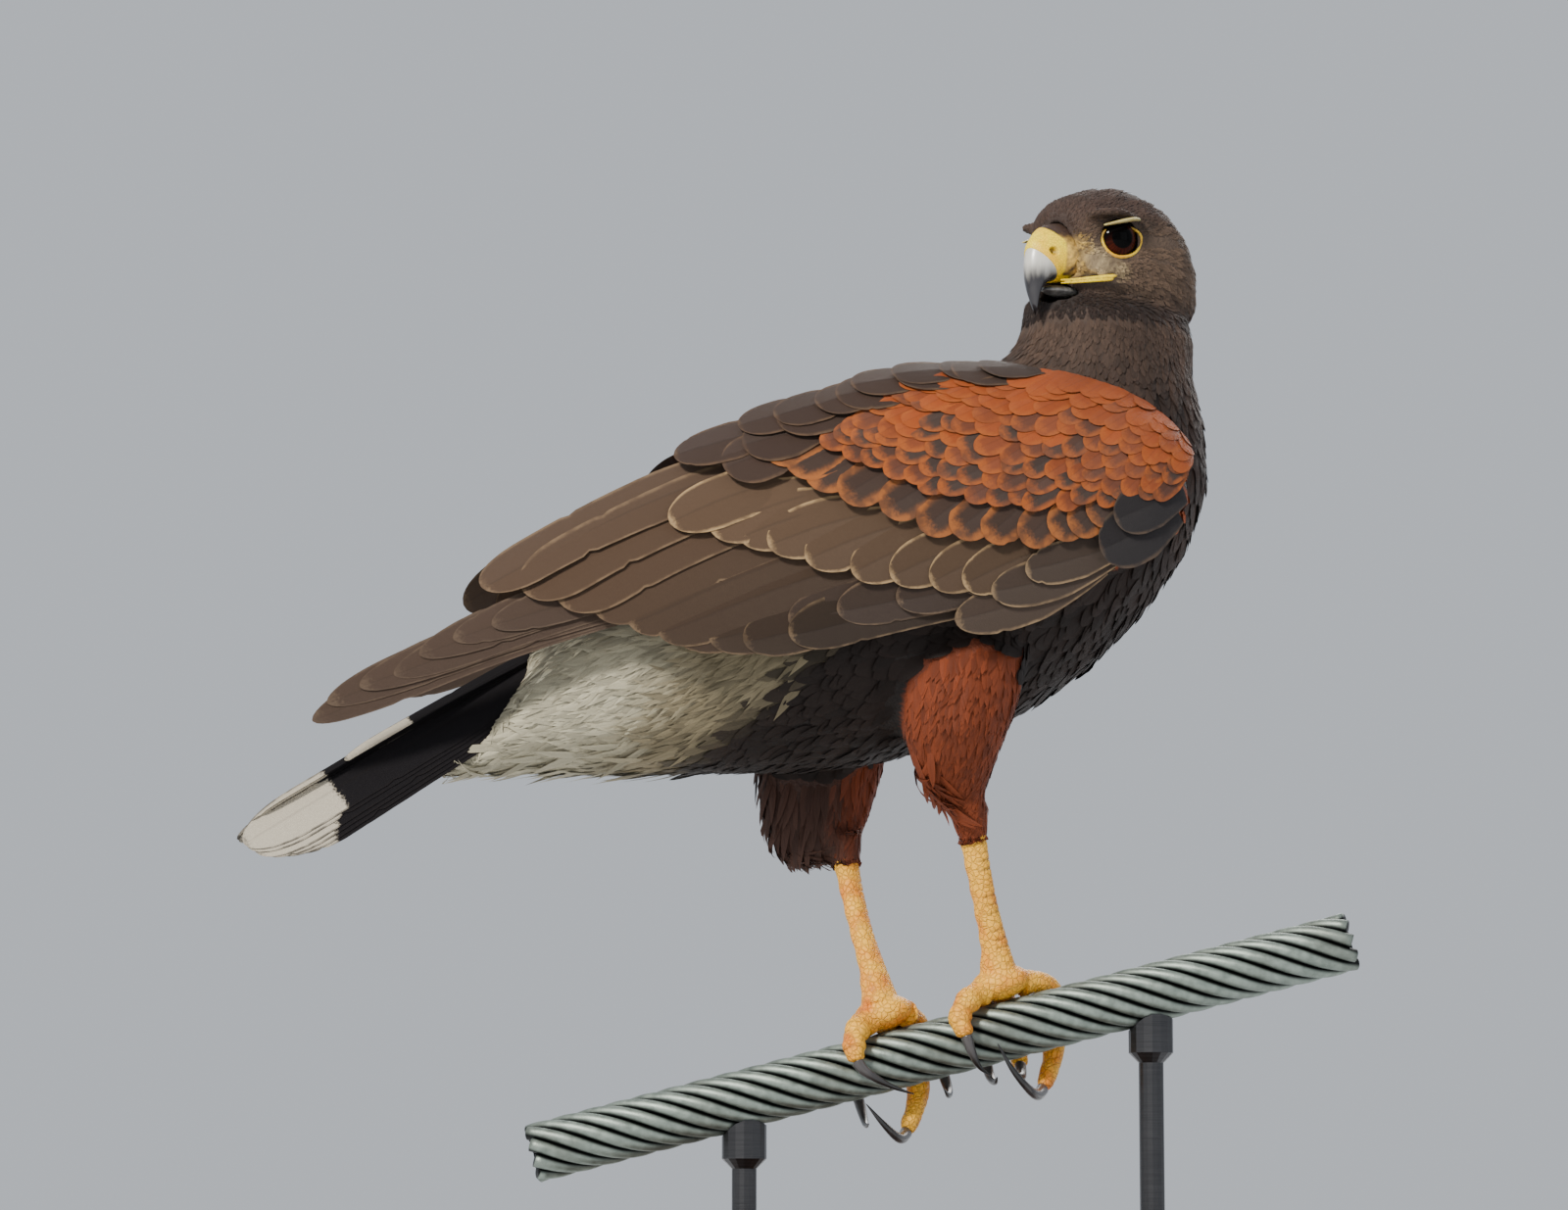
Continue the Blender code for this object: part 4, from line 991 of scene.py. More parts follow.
@dataclass
class Skin:
    """One skin over torso, neck, head, thighs, arms and rump, inside the solids by the coat's depth."""

    voxel: float = 1.5
    even_out: tuple = (0.55, -0.57)
    flesh: dict = field(default_factory=lambda: {
        "torso": Part.TORSO, "neck": Part.NECK, "head": Part.HEAD,
        "thigh_right": Part.THIGH, "thigh_left": Part.THIGH,
    })
    arm_low: tuple = (
        (-92, 216), (-60, 203), (-15, 186), (20, 186), (50, 189), (75, 197), (92, 207), (101, 214),
    )
    arm_high: tuple = (
        (-92, 236), (-60, 253), (-20, 268), (20, 274), (50, 271), (75, 262), (92, 248), (101, 230),
    )
    arm_depth: float = 5.0
    arm_bevels: tuple = (5.5, 3.0)
    arm_inside: tuple = (7.5, 32.0, 3.0)
    vent: tuple = (
        ((-207, 112), (-207, 105.5), 7), ((-193, 121), (-193, 105), 12), ((-176, 143), (-178, 105), 18),
        ((-160, 166), (-162, 105.5), 23), ((-136, 182), (-138, 105.5), 31), ((-108, 203), (-106, 106), 38),
        ((-80, 227), (-70, 108), 45), ((-52, 250), (-32, 111), 50),
    )
    vent_end: tuple = (-62.0, 172.0)
    vane_depth: float = 0.4
    cuff_radii: tuple = (11.0, 10.0, 8.8, 7.5)
    rump_from: tuple = (-126, 0, 176)
    rump_to: tuple = (-168, 0, 151)
    rump_radii: tuple = (12.0, 11.0, 9.0, 6.0)
    bill_root: tuple = (20.0, 0.0, -6.0)
    face_depth: tuple = (0.7, 1.3)
    face_span: tuple = (16.0, 42.0)
    lid_depth: tuple = (0.6, 0.4)
    lid_span: tuple = (10.0, 20.0)
    body_depth: float = 3.2
    neck_from: tuple = (308.0, 280.0)
    trees: dict = field(default_factory=dict)

    def arm(self, side: int) -> Thing:
        """The arm and hand of a wing as a smooth form.

        Args:
            side: 1 for the left wing and -1 for the right.

        Returns:
            The form.
        """
        rings = []
        share = np.linspace(0, 1, 14)
        below, above = self.arm_bevels
        bevel = below * np.maximum(0, 1 - share * 5) + above * np.maximum(0, share * 7 - 6)
        outer_least, thick, inner_least = self.arm_inside
        for x in np.linspace(self.arm_low[0][0], self.arm_low[-1][0], 30):
            low, high = (float(read(*zip(*line), x)) for line in (self.arm_low, self.arm_high))
            outer, _ = WING.point(np.full(14, x), low + (high - low) * share, -self.arm_depth - bevel, side)
            inner = outer.copy()
            outer[:, 1] = side * np.maximum(abs(outer[:, 1]), outer_least)
            inner[:, 1] = side * np.maximum(abs(outer[:, 1]) - thick, inner_least)
            rings.append(np.vstack([outer, inner[::-1]]))
        return ring_solid("arm", np.array(rings))

    def rump(self) -> Thing:
        """The root of the tail under its coverts.

        Returns:
            The form.
        """
        path = np.linspace(self.rump_from, self.rump_to, 12)
        radii = np.interp(np.linspace(0, 3, 12), range(4), self.rump_radii)
        rings = limb_rings(path, radii, 20, 1.5)
        return ring_solid("rump", rings, end=rings[-1].mean(axis=0) + (-4, 0, -2))

    def build(self) -> Thing:
        """Joins the parts in one closed skin, softens it and draws it in by the coat's depth.

        Returns:
            The skin, with its unwrap.
        """
        extra = [(self.arm(side), Part.ARM) for side in SIDES.values()]
        extra += [(self.rump(), Part.RUMP), (self.under_tail(), Part.TORSO)]
        extra += [(self.cuff(knots), Part.THIGH) for knots in Legs().shanks.values()]
        forms = []
        for piece, kind in [(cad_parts[name], kind) for name, kind in self.flesh.items()] + extra:
            places = self.flatten_vanes(corners(piece)) if kind == Part.TORSO else corners(piece)
            forms.append((places, polygons(piece)))
            self.trees.setdefault(kind, []).append(BVHTree.FromPolygons(places.tolist(), forms[-1][1]))
        for piece, _ in extra:
            bpy.data.objects.remove(piece)
        made = mesh_object("hawk_skin", *gather(forms))
        join_voxels(made, self.voxel)
        relax(made, self.even_out * 9)
        push(made, -self.coat_depth(corners(made)))
        self.keep_outer(made)
        made.data.shade_smooth()
        self.unwrap(made)
        return made

    def under_tail(self) -> Thing:
        """The trunk's own round form between the thighs and the tail.

        Returns:
            The form.
        """
        rows = spline([(*top, *low, half) for top, low, half in self.vent], 32)
        tx, tz, bx, bz, half = rows.T[..., None]
        level, out = np.cos(full_turn(48)), np.sin(full_turn(48))
        x, z = (tx + bx + (tx - bx) * level) / 2, (tz + bz + (tz - bz) * level) / 2
        rings = np.stack([x, half * out, z], axis=-1)
        return ring_solid("under_tail", rings, rings[0].mean(axis=0) - (6, 0, 0))

    def flatten_vanes(self, places: Array) -> Array:
        """Lays the undertail vanes of the solid on the trunk's own round form.

        Args:
            places: Corners of the torso's solid.

        Returns:
            The corners, with the vanes laid flat.
        """
        form = self.under_tail()
        tree = solid_tree(form)
        bpy.data.objects.remove(form)
        out = places.copy()
        for i in np.flatnonzero((places[:, 0] < self.vent_end[0]) & (places[:, 2] < self.vent_end[1])):
            near, normal, _, _ = tree.find_nearest(places[i].tolist())
            if (Vector(places[i]) - near) @ normal > -self.vane_depth:
                out[i] = near - normal * self.vane_depth
        return out

    def cuff(self, knots: tuple) -> Thing:
        """The sleeve of feathers at the top of a shank."""
        path = spline(knots[:2], 4) + (spline(knots[:2], 4)[0] - knots[1]) * 0.25
        return ring_solid("cuff", limb_rings(path, np.array(self.cuff_radii), 20))

    def coat_depth(self, points: Array) -> Array:
        """How deep the coat is at places in the bird's frame, in millimetres.

        Args:
            points: The places.

        Returns:
            One depth for each place.
        """
        on_head = HEAD.to_head(points)
        away = np.linalg.norm(on_head - self.bill_root, axis=1)
        face = self.face_depth[0] + self.face_depth[1] * smoothstep(*self.face_span, away)
        near_eyes = smoothstep(*self.lid_span, HEAD.from_eyes(on_head))
        face = face * (self.lid_depth[0] + self.lid_depth[1] * near_eyes)
        return face + (self.body_depth - face) * smoothstep(*self.neck_from, points[:, 2])

    def keep_outer(self, made: Thing) -> None:
        """Keeps the largest connected surface.

        Args:
            made: The object.
        """
        place = fetch(made.data.vertices, "co")
        label = np.arange(len(place))
        a, b = fetch(made.data.edges, "vertices", 2, np.int32).T
        while True:
            low = np.minimum(label[a], label[b])
            new = label.copy()
            np.minimum.at(new, a, low)
            np.minimum.at(new, b, low)
            new = new[new]
            if (new == label).all():
                break
            label = new
        faces = fetch(made.data.loops, "vertex_index", 1, np.int32).reshape(-1, 4)
        kept = faces[label[faces[:, 0]] == np.bincount(label).argmax()]
        used, number = np.unique(kept, return_inverse=True)
        other = mesh_object("kept", place[used] / MM, number.reshape(-1, 4), in_base=True)
        made.data = other.data
        bpy.data.objects.remove(other)

    def unwrap(self, made: Thing) -> None:
        """Unwraps the skin by its own shape and keeps what the coat needs of it.

        Args:
            made: The skin.
        """
        bpy.context.view_layer.objects.active = made
        made.select_set(True)
        bpy.ops.object.mode_set(mode="EDIT")
        bpy.ops.mesh.select_all(action="SELECT")
        bpy.ops.uv.smart_project(angle_limit=math.radians(70), island_margin=0.002)
        bpy.ops.object.mode_set(mode="OBJECT")
        made.select_set(False)
        made.data.uv_layers[0].name = "OFBake"
        self.points = corners(made)
        self.normals = fetch(made.data.vertices, "normal") @ STANCE.turn()
        self.faces = fetch(made.data.loops, "vertex_index", 1, np.int32).reshape(-1, 4)
        self.uv = fetch(made.data.uv_layers[0].data, "uv", 2, np.float32).reshape(-1, 4, 2)
        self.tree = BVHTree.FromPolygons(self.points.tolist(), self.faces.tolist())

    def nearest(self, points: Array) -> tuple[Array, Array, Array]:
        """The closest places on the skin.

        Args:
            points: Places in the bird's frame.

        Returns:
            The places, the smooth directions out of the skin and the face numbers.
        """
        found = [self.tree.find_nearest(p) for p in points.tolist()]
        places = np.array([f[0] for f in found])
        index = np.array([f[2] for f in found])
        corner = self.faces[index]
        away = np.linalg.norm(self.points[corner] - places[:, None, :], axis=2)
        weight = 1.0 / (away + 0.15)
        normal = unit((self.normals[corner] * weight[..., None]).sum(axis=1))
        return places, normal, index

    def home(self, index: Array) -> Array:
        """Places of faces on the unwrap."""
        return self.uv[index].mean(axis=1)

    def parts(self, points: Array) -> Array:
        """Which part of the body each place belongs to, as numbers of Part.

        Args:
            points: Places in the bird's frame.

        Returns:
            One number for each place.
        """
        best = np.full(len(points), 1e9)
        label = np.zeros(len(points), int)
        for kind, trees in self.trees.items():
            for tree in trees:
                away = np.array([tree.find_nearest(p)[3] for p in points.tolist()])
                nearer = away < best
                best[nearer] = away[nearer]
                label[nearer] = kind.value
        return label


@dataclass(frozen=True)
class Markings:
    """The plumage's colours and where they change, the same for the skin and the coat, with painted shade
    under the chin, on the front of the neck, on the far thigh and on the front of the vent's white.
    """

    crown = tint(62, 47, 40)
    face = tint(88, 70, 56)
    nape = tint(98, 77, 64)
    mantle = tint(60, 45, 38)
    chest = tint(52, 38, 32)
    belly = tint(44, 32, 27)
    rufous = tint(140, 64, 28)
    thigh = tint(108, 48, 22)
    white = tint(230, 221, 190)
    # painted shade: the vent's white where the folded wing shades it
    white_in_painted_shade = tint(164, 150, 118)
    lores = tint(176, 154, 116)
    bridle = tint(226, 182, 84)
    # painted shade on the far thigh, in the body's shadow
    far_thigh_shade = tint(66, 44, 36)
    middle_x: tuple = (-178, -137, -75, -10, 40, 70, 90)
    middle_z: tuple = (135, 143, 167, 193, 217, 250, 290)
    half_height: float = 45.0
    mantle_from: tuple = (-0.2, 0.65)
    chest_from: tuple = (-20.0, 70.0)
    vent_from: tuple = (-88.0, -108.0)
    vent_foot: float = 112.0
    vent_top: float = 195.0
    # where the vent's white passes from painted shade at the front to lit white at the rear, and the foot
    # and slant of that edge
    shade_to_white: tuple = (-92.0, -128.0)
    shade_edge_line: tuple = (140.0, 0.4)
    nape_from: tuple = (250.0, 300.0)
    # painted shade on the front of the neck, under the head: the least share of the nape's colour and the
    # share added further back
    neck_front_shade: tuple = (0.72, 0.28)
    cheek_out: tuple = (8.0, 20.0)
    cheek_below: tuple = (12.0, 2.0)
    throat_from: tuple = (-16.0, -28.0)
    lores_middle: tuple = (15.0, 0.0, -9.0)
    lores_reach: tuple = (19.0, 12.0)
    lores_below: tuple = (2.5, -2.5)
    lores_top: tuple = (-3.4, 0.6, 12.0)
    lores_above: tuple = (-16.5, -14.5)
    lores_out: tuple = (6.0, 10.0)
    bridle_from: tuple = (12.0, 19.0)
    socket_shift: tuple = (-3.0, 0.0, 5.0)
    socket_reach: tuple = (18.0, 9.0)
    socket_above: tuple = (-4.0, 4.0)
    socket_below: tuple = (10.5, 7.0)
    # painted shadow under the chin and bill, on the throat
    chin_shade_below: tuple = (-14.0, -24.0)
    chin_shade_behind: tuple = (-22.0, 0.0)
    # where the painted shade on the far thigh begins and where it is full, along the body
    far_thigh_shade_from: tuple = (-24.0, -44.0)

    def trunk(self, points: Array) -> Array:
        """Colours of torso and neck.

        Args:
            points: Places in the bird's frame.

        Returns:
            Colours as rows of four.
        """
        x, _, z = points.T
        lower = blend(self.belly, self.chest, column(self.chest_from, x))
        body = blend(lower, self.mantle, column(self.mantle_from, self.rise(points)))
        vent = column(self.vent_from, x - (z - self.vent_foot)) * (z < self.vent_top)[:, None]
        # the vent's white darkened towards the front by painted shade, where the folded wing shades it
        foot, slant = self.shade_edge_line
        white = blend(self.white_in_painted_shade, self.white, column(self.shade_to_white, x - (z - foot) * slant))
        body = blend(body, white, vent)
        # painted shade: the front of the neck darker, under the head
        least, more = self.neck_front_shade
        neck = self.nape * (least + more * column((-10.0, 30.0), 70.0 - x))
        neck[:, 3] = 1.0
        return blend(body, neck, column(self.nape_from, z))

    def head(self, points: Array) -> Array:
        """Colours of the head.

        Args:
            points: Places in the bird's frame.

        Returns:
            Colours as rows of four.
        """
        on_head = HEAD.to_head(points)
        x, y, z = on_head.T
        cheek = column(self.cheek_out, abs(y)) * column(self.cheek_below, z)
        out = blend(self.crown, self.face, cheek)
        out = blend(out, self.chest, column(self.throat_from, z))
        from_middle = np.linalg.norm((on_head - self.lores_middle) * (1.0, 0.0, 1.0), axis=1)
        height, slope, start = self.lores_top
        pale = column(self.lores_reach, from_middle) * column(self.lores_above, z)
        pale = pale * column(self.lores_below, z - height - slope * (x - start))
        pale = pale * column(self.lores_out, abs(y)) * (0.6 + 0.4 * ripple(points, 2.2, 5))[:, None]
        out = blend(out, blend(self.lores, self.bridle, column(self.bridle_from, x)), pale)
        socket = column(self.socket_reach, HEAD.from_eyes(on_head, self.socket_shift))
        socket = socket * column(self.socket_above, z) * column(self.socket_below, z)
        return out * (1 - 0.5 * socket)

    def pigment(self, points: Array, label: Array) -> Array:
        """Colours of the plumage.

        Args:
            points: Places in the bird's frame.
            label: The part of the body at each place.

        Returns:
            Colours as rows of four.
        """
        x, y, _ = points.T
        head_x, _, head_z = HEAD.to_head(points).T
        # painted shadow under the chin: the throat down to half its brightness
        chin = column(self.chin_shade_below, head_z) * column(self.chin_shade_behind, head_x)
        # painted shade on the rear of the far thigh
        far = column(self.far_thigh_shade_from, x) * (y > 0)[:, None]
        out = np.where(Part.HEAD.among(label)[:, None], self.head(points), self.trunk(points))
        out = out * (1 - 0.5 * chin)
        plain = {Part.THIGH: blend(self.thigh, self.far_thigh_shade, far), Part.ARM: self.rufous,
                 Part.RUMP: self.white}
        for part, colour in plain.items():
            out = np.where(part.among(label)[:, None], colour, out)
        out = out * (1 + 0.10 * ripple(points, 22.0, 3)[:, None])
        out[:, 3] = 1.0
        return np.clip(out, 0.0, 1.0)

    def rise(self, points: Array) -> Array:
        """Heights over the body's middle line, as shares of the body's half height."""
        return (points[:, 2] - read(self.middle_x, self.middle_z, points[:, 0])) / self.half_height


MARKINGS = Markings()


def vane_rows(rows: int) -> Array:
    """Shares of a vane's length at which its rows stand, closer together towards the tip."""
    return 1 - (1 - np.linspace(0, 1, rows + 1)) ** 1.45


@dataclass
class Vanes:
    """Feathers of one size class, gathered in arrays and made as one mesh."""

    name: str
    rows: int
    cells: int
    thick: float = 0.25
    ridge: float = 0.12
    taper: float = 0.5
    curl: float = 2.0
    swelling: float = 2.2
    barb_slant: float = 0.9

    def outline(self, point: float, swell: float = 0.5) -> tuple[Array, Array]:
        """Where rows stand along a vane, and its half width there as a share of the full one.

        Args:
            point: Share of the length where the tip begins to round off.
            swell: Half width at the root.

        Returns:
            Shares of the length and of the half width, for each row.
        """
        v = vane_rows(self.rows)
        near_tip = np.clip((v - point) / (1 - point), 0.0, 1.0)
        root = np.minimum(1.0, swell + (1 - swell) * self.swelling * v)
        return v, root * np.clip(1 - near_tip**2.2, 0.001, 1) ** self.taper

    def build(self, path: Array, out: Array, half: Array, camber: Array, pigment: Array, fringe: Array,
              home: Array, patch: tuple = (0.003, 0.003), lean: float = 0.0,
              band: Array | None = None) -> Thing:
        """Makes the mesh.

        Args:
            path: Middle line of each feather: feathers, rows and coordinates.
            out: Direction out of each feather's face at each row.
            half: Half width at each row.
            camber: How far the edges droop, for each feather.
            pigment: Colour of each feather, as rows of four.
            fringe: Colour of each feather's fringe, with its strength.
            home: Place of each feather on the baking map.
            patch: Size of each feather on the baking map.
            lean: Share of the half width by which the shaft is off the middle.
            band: Signed distance to a pale band at each row, if there is one.

        Returns:
            The new object.
        """
        count, rows = path.shape[:2]
        ahead = unit(np.gradient(path, axis=1))
        across = unit(np.cross(out, ahead))
        out = unit(np.cross(ahead, across))
        top, keel = np.linspace(-1, 1, self.cells + 1), [-1.0, 0.0, 1.0]
        u = np.concatenate([top, keel])
        ridge = self.ridge * np.clip(1 - abs(top) * self.cells / 2, 0, 1)
        over = np.concatenate([ridge, [0, -self.thick, 0]])
        slide = np.concatenate([top + lean * (1 - top**2), keel])
        widest = np.maximum(half.max(axis=1), 1e-6)[:, None, None]
        wide = half[:, :, None] * slide
        droop = camber[:, None, None] * abs(wide / widest) ** self.curl
        points = (
            path[:, :, None, :] + across[:, :, None, :] * wide[..., None]
            + out[:, :, None, :] * (over[None, None, :] * (half[:, :, None] / widest) - droop)[..., None]
        )
        columns = len(u)
        grid = grid_faces(rows, columns)
        lane = grid[:, 0] % columns
        lower = grid[(lane > self.cells) & (lane < columns - 1)][:, ::-1]
        faces = np.vstack([grid[lane < self.cells], lower])
        step = np.arange(count)[:, None, None] * (rows * columns)
        made = mesh_object(self.name, points.reshape(-1, 3), (faces[None] + step).reshape(-1, 4))
        length = np.linalg.norm(np.diff(path, axis=1), axis=2)
        run = np.concatenate([np.zeros((count, 1)), np.cumsum(length, axis=1)], axis=1)
        share = run / np.maximum(run[:, -1:], 1e-6)
        shape = (count, rows, columns)
        uu = np.broadcast_to(u, shape)
        vv = np.broadcast_to(share[:, :, None], shape)
        width = np.broadcast_to(half[:, :, None], shape) * uu
        along = np.broadcast_to(run[:, :, None], shape) - abs(width) * self.barb_slant
        home_u, home_v = home.T[..., None, None]
        maps = {"OFBake": (home_u + uu * 0.5 * patch[0], home_v + (vv - 0.5) * patch[1]),
                "vane": (uu * 0.5 + 0.5, vv), "barbs": (along * 0.1, width * 0.1)}
        for name, pair in maps.items():
            map_points(made, name, np.stack(pair, axis=-1).reshape(-1, 2))
        for name, colours in (("pigment", pigment), ("fringe", fringe)):
            paint_points(made, name, np.repeat(colours, rows * columns, axis=0))
        if band is not None:
            paint_points(made, "band", np.broadcast_to(band[:, :, None], shape).reshape(-1))
        return made


@dataclass
class Coat:
    """Contour feathers over the skin, laid along the body and finest on the face."""

    skin: Skin
    candidates: int = 190000
    # each size and growth is a length, a width and a lift; each span leads from none to all of a growth
    head_size: tuple = (3.0, 1.0, 0.38)
    head_growth: tuple = (5.0, 1.3, 0.4)
    head_fine: tuple = (12.0, 48.0)
    eye_fine: tuple = (8.0, 24.0)
    body_size: tuple = (9.0, 1.6, 0.5)
    body_growth: tuple = (7.0, 4.4, 1.3)
    body_from: tuple = (300.0, 240.0)
    vent_growth: tuple = (10.0, -3.3, 0.2)
    vent_from: tuple = (-80.0, -112.0)
    wisp_growth: tuple = (5.0, 0.0, 0.0)
    wisp_from: tuple = (-140.0, -190.0)
    thigh_size: tuple = (15.0, 3.0, 1.2)
    low_growth: tuple = (3.0, -0.6, -0.5)
    low_from: tuple = (150.0, 95.0)
    cuff_growth: tuple = (-5.0, 0.0, -0.3)
    cuff_height: float = 14.0
    heels: tuple = (88.0, 76.0)
    rear_growth: tuple = (6.0, 0.0, 0.0)
    rear_from: tuple = ((-2.0, -14.0), (-38.0, -54.0))
    arm_size: tuple = (10.0, 4.4, 1.8)
    spacing: tuple = (0.6, 0.1)
    # how much the feathers behind the thigh, under the tail and at the vent's end leave the skin
    loose: tuple = (0.75, 0.3, 0.15)
    # spread of direction on the thigh and on the body, and what the vent adds
    turned: tuple = (0.16, 0.18, 0.05)
    stray_share: tuple = (0.25, 0.13)
    stray_below: tuple = (122.0, 112.0)
    stray_to: float = -186.0
    root_depth: float = 0.7
    length_spread: tuple = (0.85, 1.15)
    width_spread: tuple = (0.8, 1.2)
    lift_spread: tuple = (0.8, 1.2)
    stray_lift: tuple = (1.5, 4.5)
    overlap: float = 1.25
    camber: float = 0.09
    # the spot on the bill from which the head's feathers spread, and where they turn down
    parting: tuple = (24.0, 0.0, -4.0)
    down_below: tuple = (0.0, -30.0)
    down_behind: tuple = (-20.0, -48.0)
    down_shares: tuple = (0.9, 1.1)
    head_above: tuple = (292.0, 312.0)
    thigh_way: tuple = (-0.16, 0.0, -1.0)
    arm_way: tuple = (-0.9, 0.0, -0.42)
    cover_low: tuple = ((-190, -150, -100, -60, 0, 60, 100), (176, 166, 158, 168, 184, 196, 214))
    cover_high: tuple = (
        (-190, -110, -70, -30, 10, 50, 75, 100), (186, 226, 246, 262, 268, 264, 254, 236),
    )
    cover_edge: float = 9.0
    cover_span: tuple = (-185.0, 94.0)
    cover_depth: tuple = (14.0, 4.0)
    arm_shows: tuple = (62.0, 4.0)
    arm_foot: float = 200.0
    feet_top: float = 60.0
    spine: tuple = (
        (74, 306), (72, 285), (73, 268), (69, 253), (57, 233), (40, 217), (19, 204), (-10, 193),
        (-42, 180), (-75, 167), (-107, 153), (-137, 143), (-161, 137), (-195, 128),
    )
    bare: dict = field(default_factory=lambda: {
        "cere": (Part.HEAD, 0.9), "bill_lower": (Part.HEAD, 0.1), "bill_upper": (Part.HEAD, 0.9),
        "eye_right": (Part.HEAD, 1.3), "eye_left": (Part.HEAD, 1.3),
        "shank_right": (Part.THIGH, 0.3), "shank_left": (Part.THIGH, 0.3),
    })

    @staticmethod
    def grown(base: tuple, *changes: tuple[tuple, Array]) -> Array:
        """Length, width and lift from place to place, as a base and changes with their shares.

        Args:
            base: Length, width and lift where nothing changes them.
            changes: What a change adds, with its share at each place.

        Returns:
            Rows of length, width and lift.
        """
        out = np.array(base)
        for change, share in changes:
            out = out + np.array(change) * share[:, None]
        return out

    def sizes(self, points: Array, label: Array) -> dict[str, Array]:
        """Looks up what the feathers are like at each place.

        Args:
            points: Places in the bird's frame.
            label: The part of the body at each place.

        Returns:
            Length, width, lift, spacing, cling, spread of direction and chance of a stray feather.
        """
        x, y, z = points.T
        on_head = HEAD.to_head(points)
        away = np.linalg.norm(on_head - self.skin.bill_root, axis=1)
        fine = smoothstep(*self.head_fine, away) * smoothstep(*self.eye_fine, HEAD.from_eyes(on_head))
        vent = smoothstep(*self.vent_from, x - (z - MARKINGS.vent_foot)) * (z < MARKINGS.vent_top)
        wisp = vent * smoothstep(*self.wisp_from, x)
        low = smoothstep(*self.low_from, z)
        heel = np.where(y > 0, self.heels[1], self.heels[0])
        cuff = smoothstep(heel + self.cuff_height, heel, z)
        rear_right, rear_left = (smoothstep(*span, x) for span in self.rear_from)
        rear = np.where(y > 0, rear_left, rear_right) * low
        grown = smoothstep(*self.body_from, z)
        size = self.grown(self.body_size, (self.body_growth, grown), (self.vent_growth, vent),
                          (self.wisp_growth, wisp))
        others = {
            Part.HEAD: self.grown(self.head_size, (self.head_growth, fine)),
            Part.THIGH: self.grown(self.thigh_size, (self.low_growth, low), (self.cuff_growth, cuff),
                                   (self.rear_growth, rear)),
            Part.ARM: np.array(self.arm_size),
        }
        for part, own in others.items():
            size = np.where(part.among(label)[:, None], own, size)
        out = dict(zip(("length", "width", "lift"), size.T))
        thigh = Part.THIGH.among(label)
        flesh = Part.TORSO.among(label) | Part.RUMP.among(label)
        out["spacing"] = out["width"] * (self.spacing[0] + self.spacing[1] * vent)
        loose_rear, loose_vent, loose_wisp = self.loose
        loose = 1 - loose_rear * rear * (1 - cuff)
        out["cling"] = np.where(thigh, loose, 1 - loose_vent * vent - loose_wisp * wisp)
        out["turned"] = np.where(thigh, self.turned[0], self.turned[1] + self.turned[2] * vent)
        out["vent"] = vent * flesh
        stray_rear, stray_vent = self.stray_share
        stray = stray_vent * vent * smoothstep(*self.stray_below, z) * (x > self.stray_to)
        out["stray"] = np.where(thigh, stray_rear * rear * (1 - cuff), np.where(flesh, stray, 0.0))
        return out

    def lie(self, points: Array, label: Array) -> Array:
        """Directions in which the feathers point, before they are laid on the skin.

        Args:
            points: Places in the bird's frame.
            label: The part of the body at each place.

        Returns:
            Directions as rows.
        """
        line = spline(self.spine, 70)
        way = unit(np.gradient(line, axis=0))
        flat = points[:, (0, 2)]
        gap = np.linalg.norm(flat[:, None, :] - line[None], axis=2)
        weight = np.exp(-(gap - gap.min(axis=1, keepdims=True)) / 6.0)
        mean = (weight[..., None] * way[None]).sum(axis=1)
        body = unit(np.stack([mean[:, 0], np.zeros(len(points)), mean[:, 1]], axis=-1))
        on_head = HEAD.to_head(points)
        radial = unit(on_head - np.array(self.parting))
        below, behind = self.down_shares
        down = smoothstep(*self.down_below, on_head[:, 2]) * below
        down = down + smoothstep(*self.down_behind, on_head[:, 0]) * behind
        head = unit(radial @ HEAD.turn().T + down[:, None] * np.array([0.0, 0.0, -1.0]))
        out = unit(blend(body, head, column(self.head_above, points[:, 2])))
        for part, way in ((Part.THIGH, self.thigh_way), (Part.ARM, self.arm_way)):
            out = np.where(part.among(label)[:, None], way, out)
        return unit(out)

    def hidden(self, points: Array, label: Array) -> Array:
        """Places that the folded wings or bare parts cover, where no feather is needed.

        Args:
            points: Places in the bird's frame.
            label: The part of the body at each place.

        Returns:
            Whether each place is covered.
        """
        x, y, z = points.T
        low, high = (read(*line, x) for line in (self.cover_low, self.cover_high))
        rear, front = self.cover_span
        inner, outer = self.cover_depth
        within = (z > low + self.cover_edge) & (z < high - self.cover_edge) & (x > rear) & (x < front)
        under = within & (abs(y) < WING.depth(x, z) - outer) & (abs(y) > inner)
        from_x, edge = self.arm_shows
        arm = Part.ARM.among(label) & (((x < from_x) & (z < high - edge)) | (z < self.arm_foot))
        return under | arm | (z < self.feet_top)

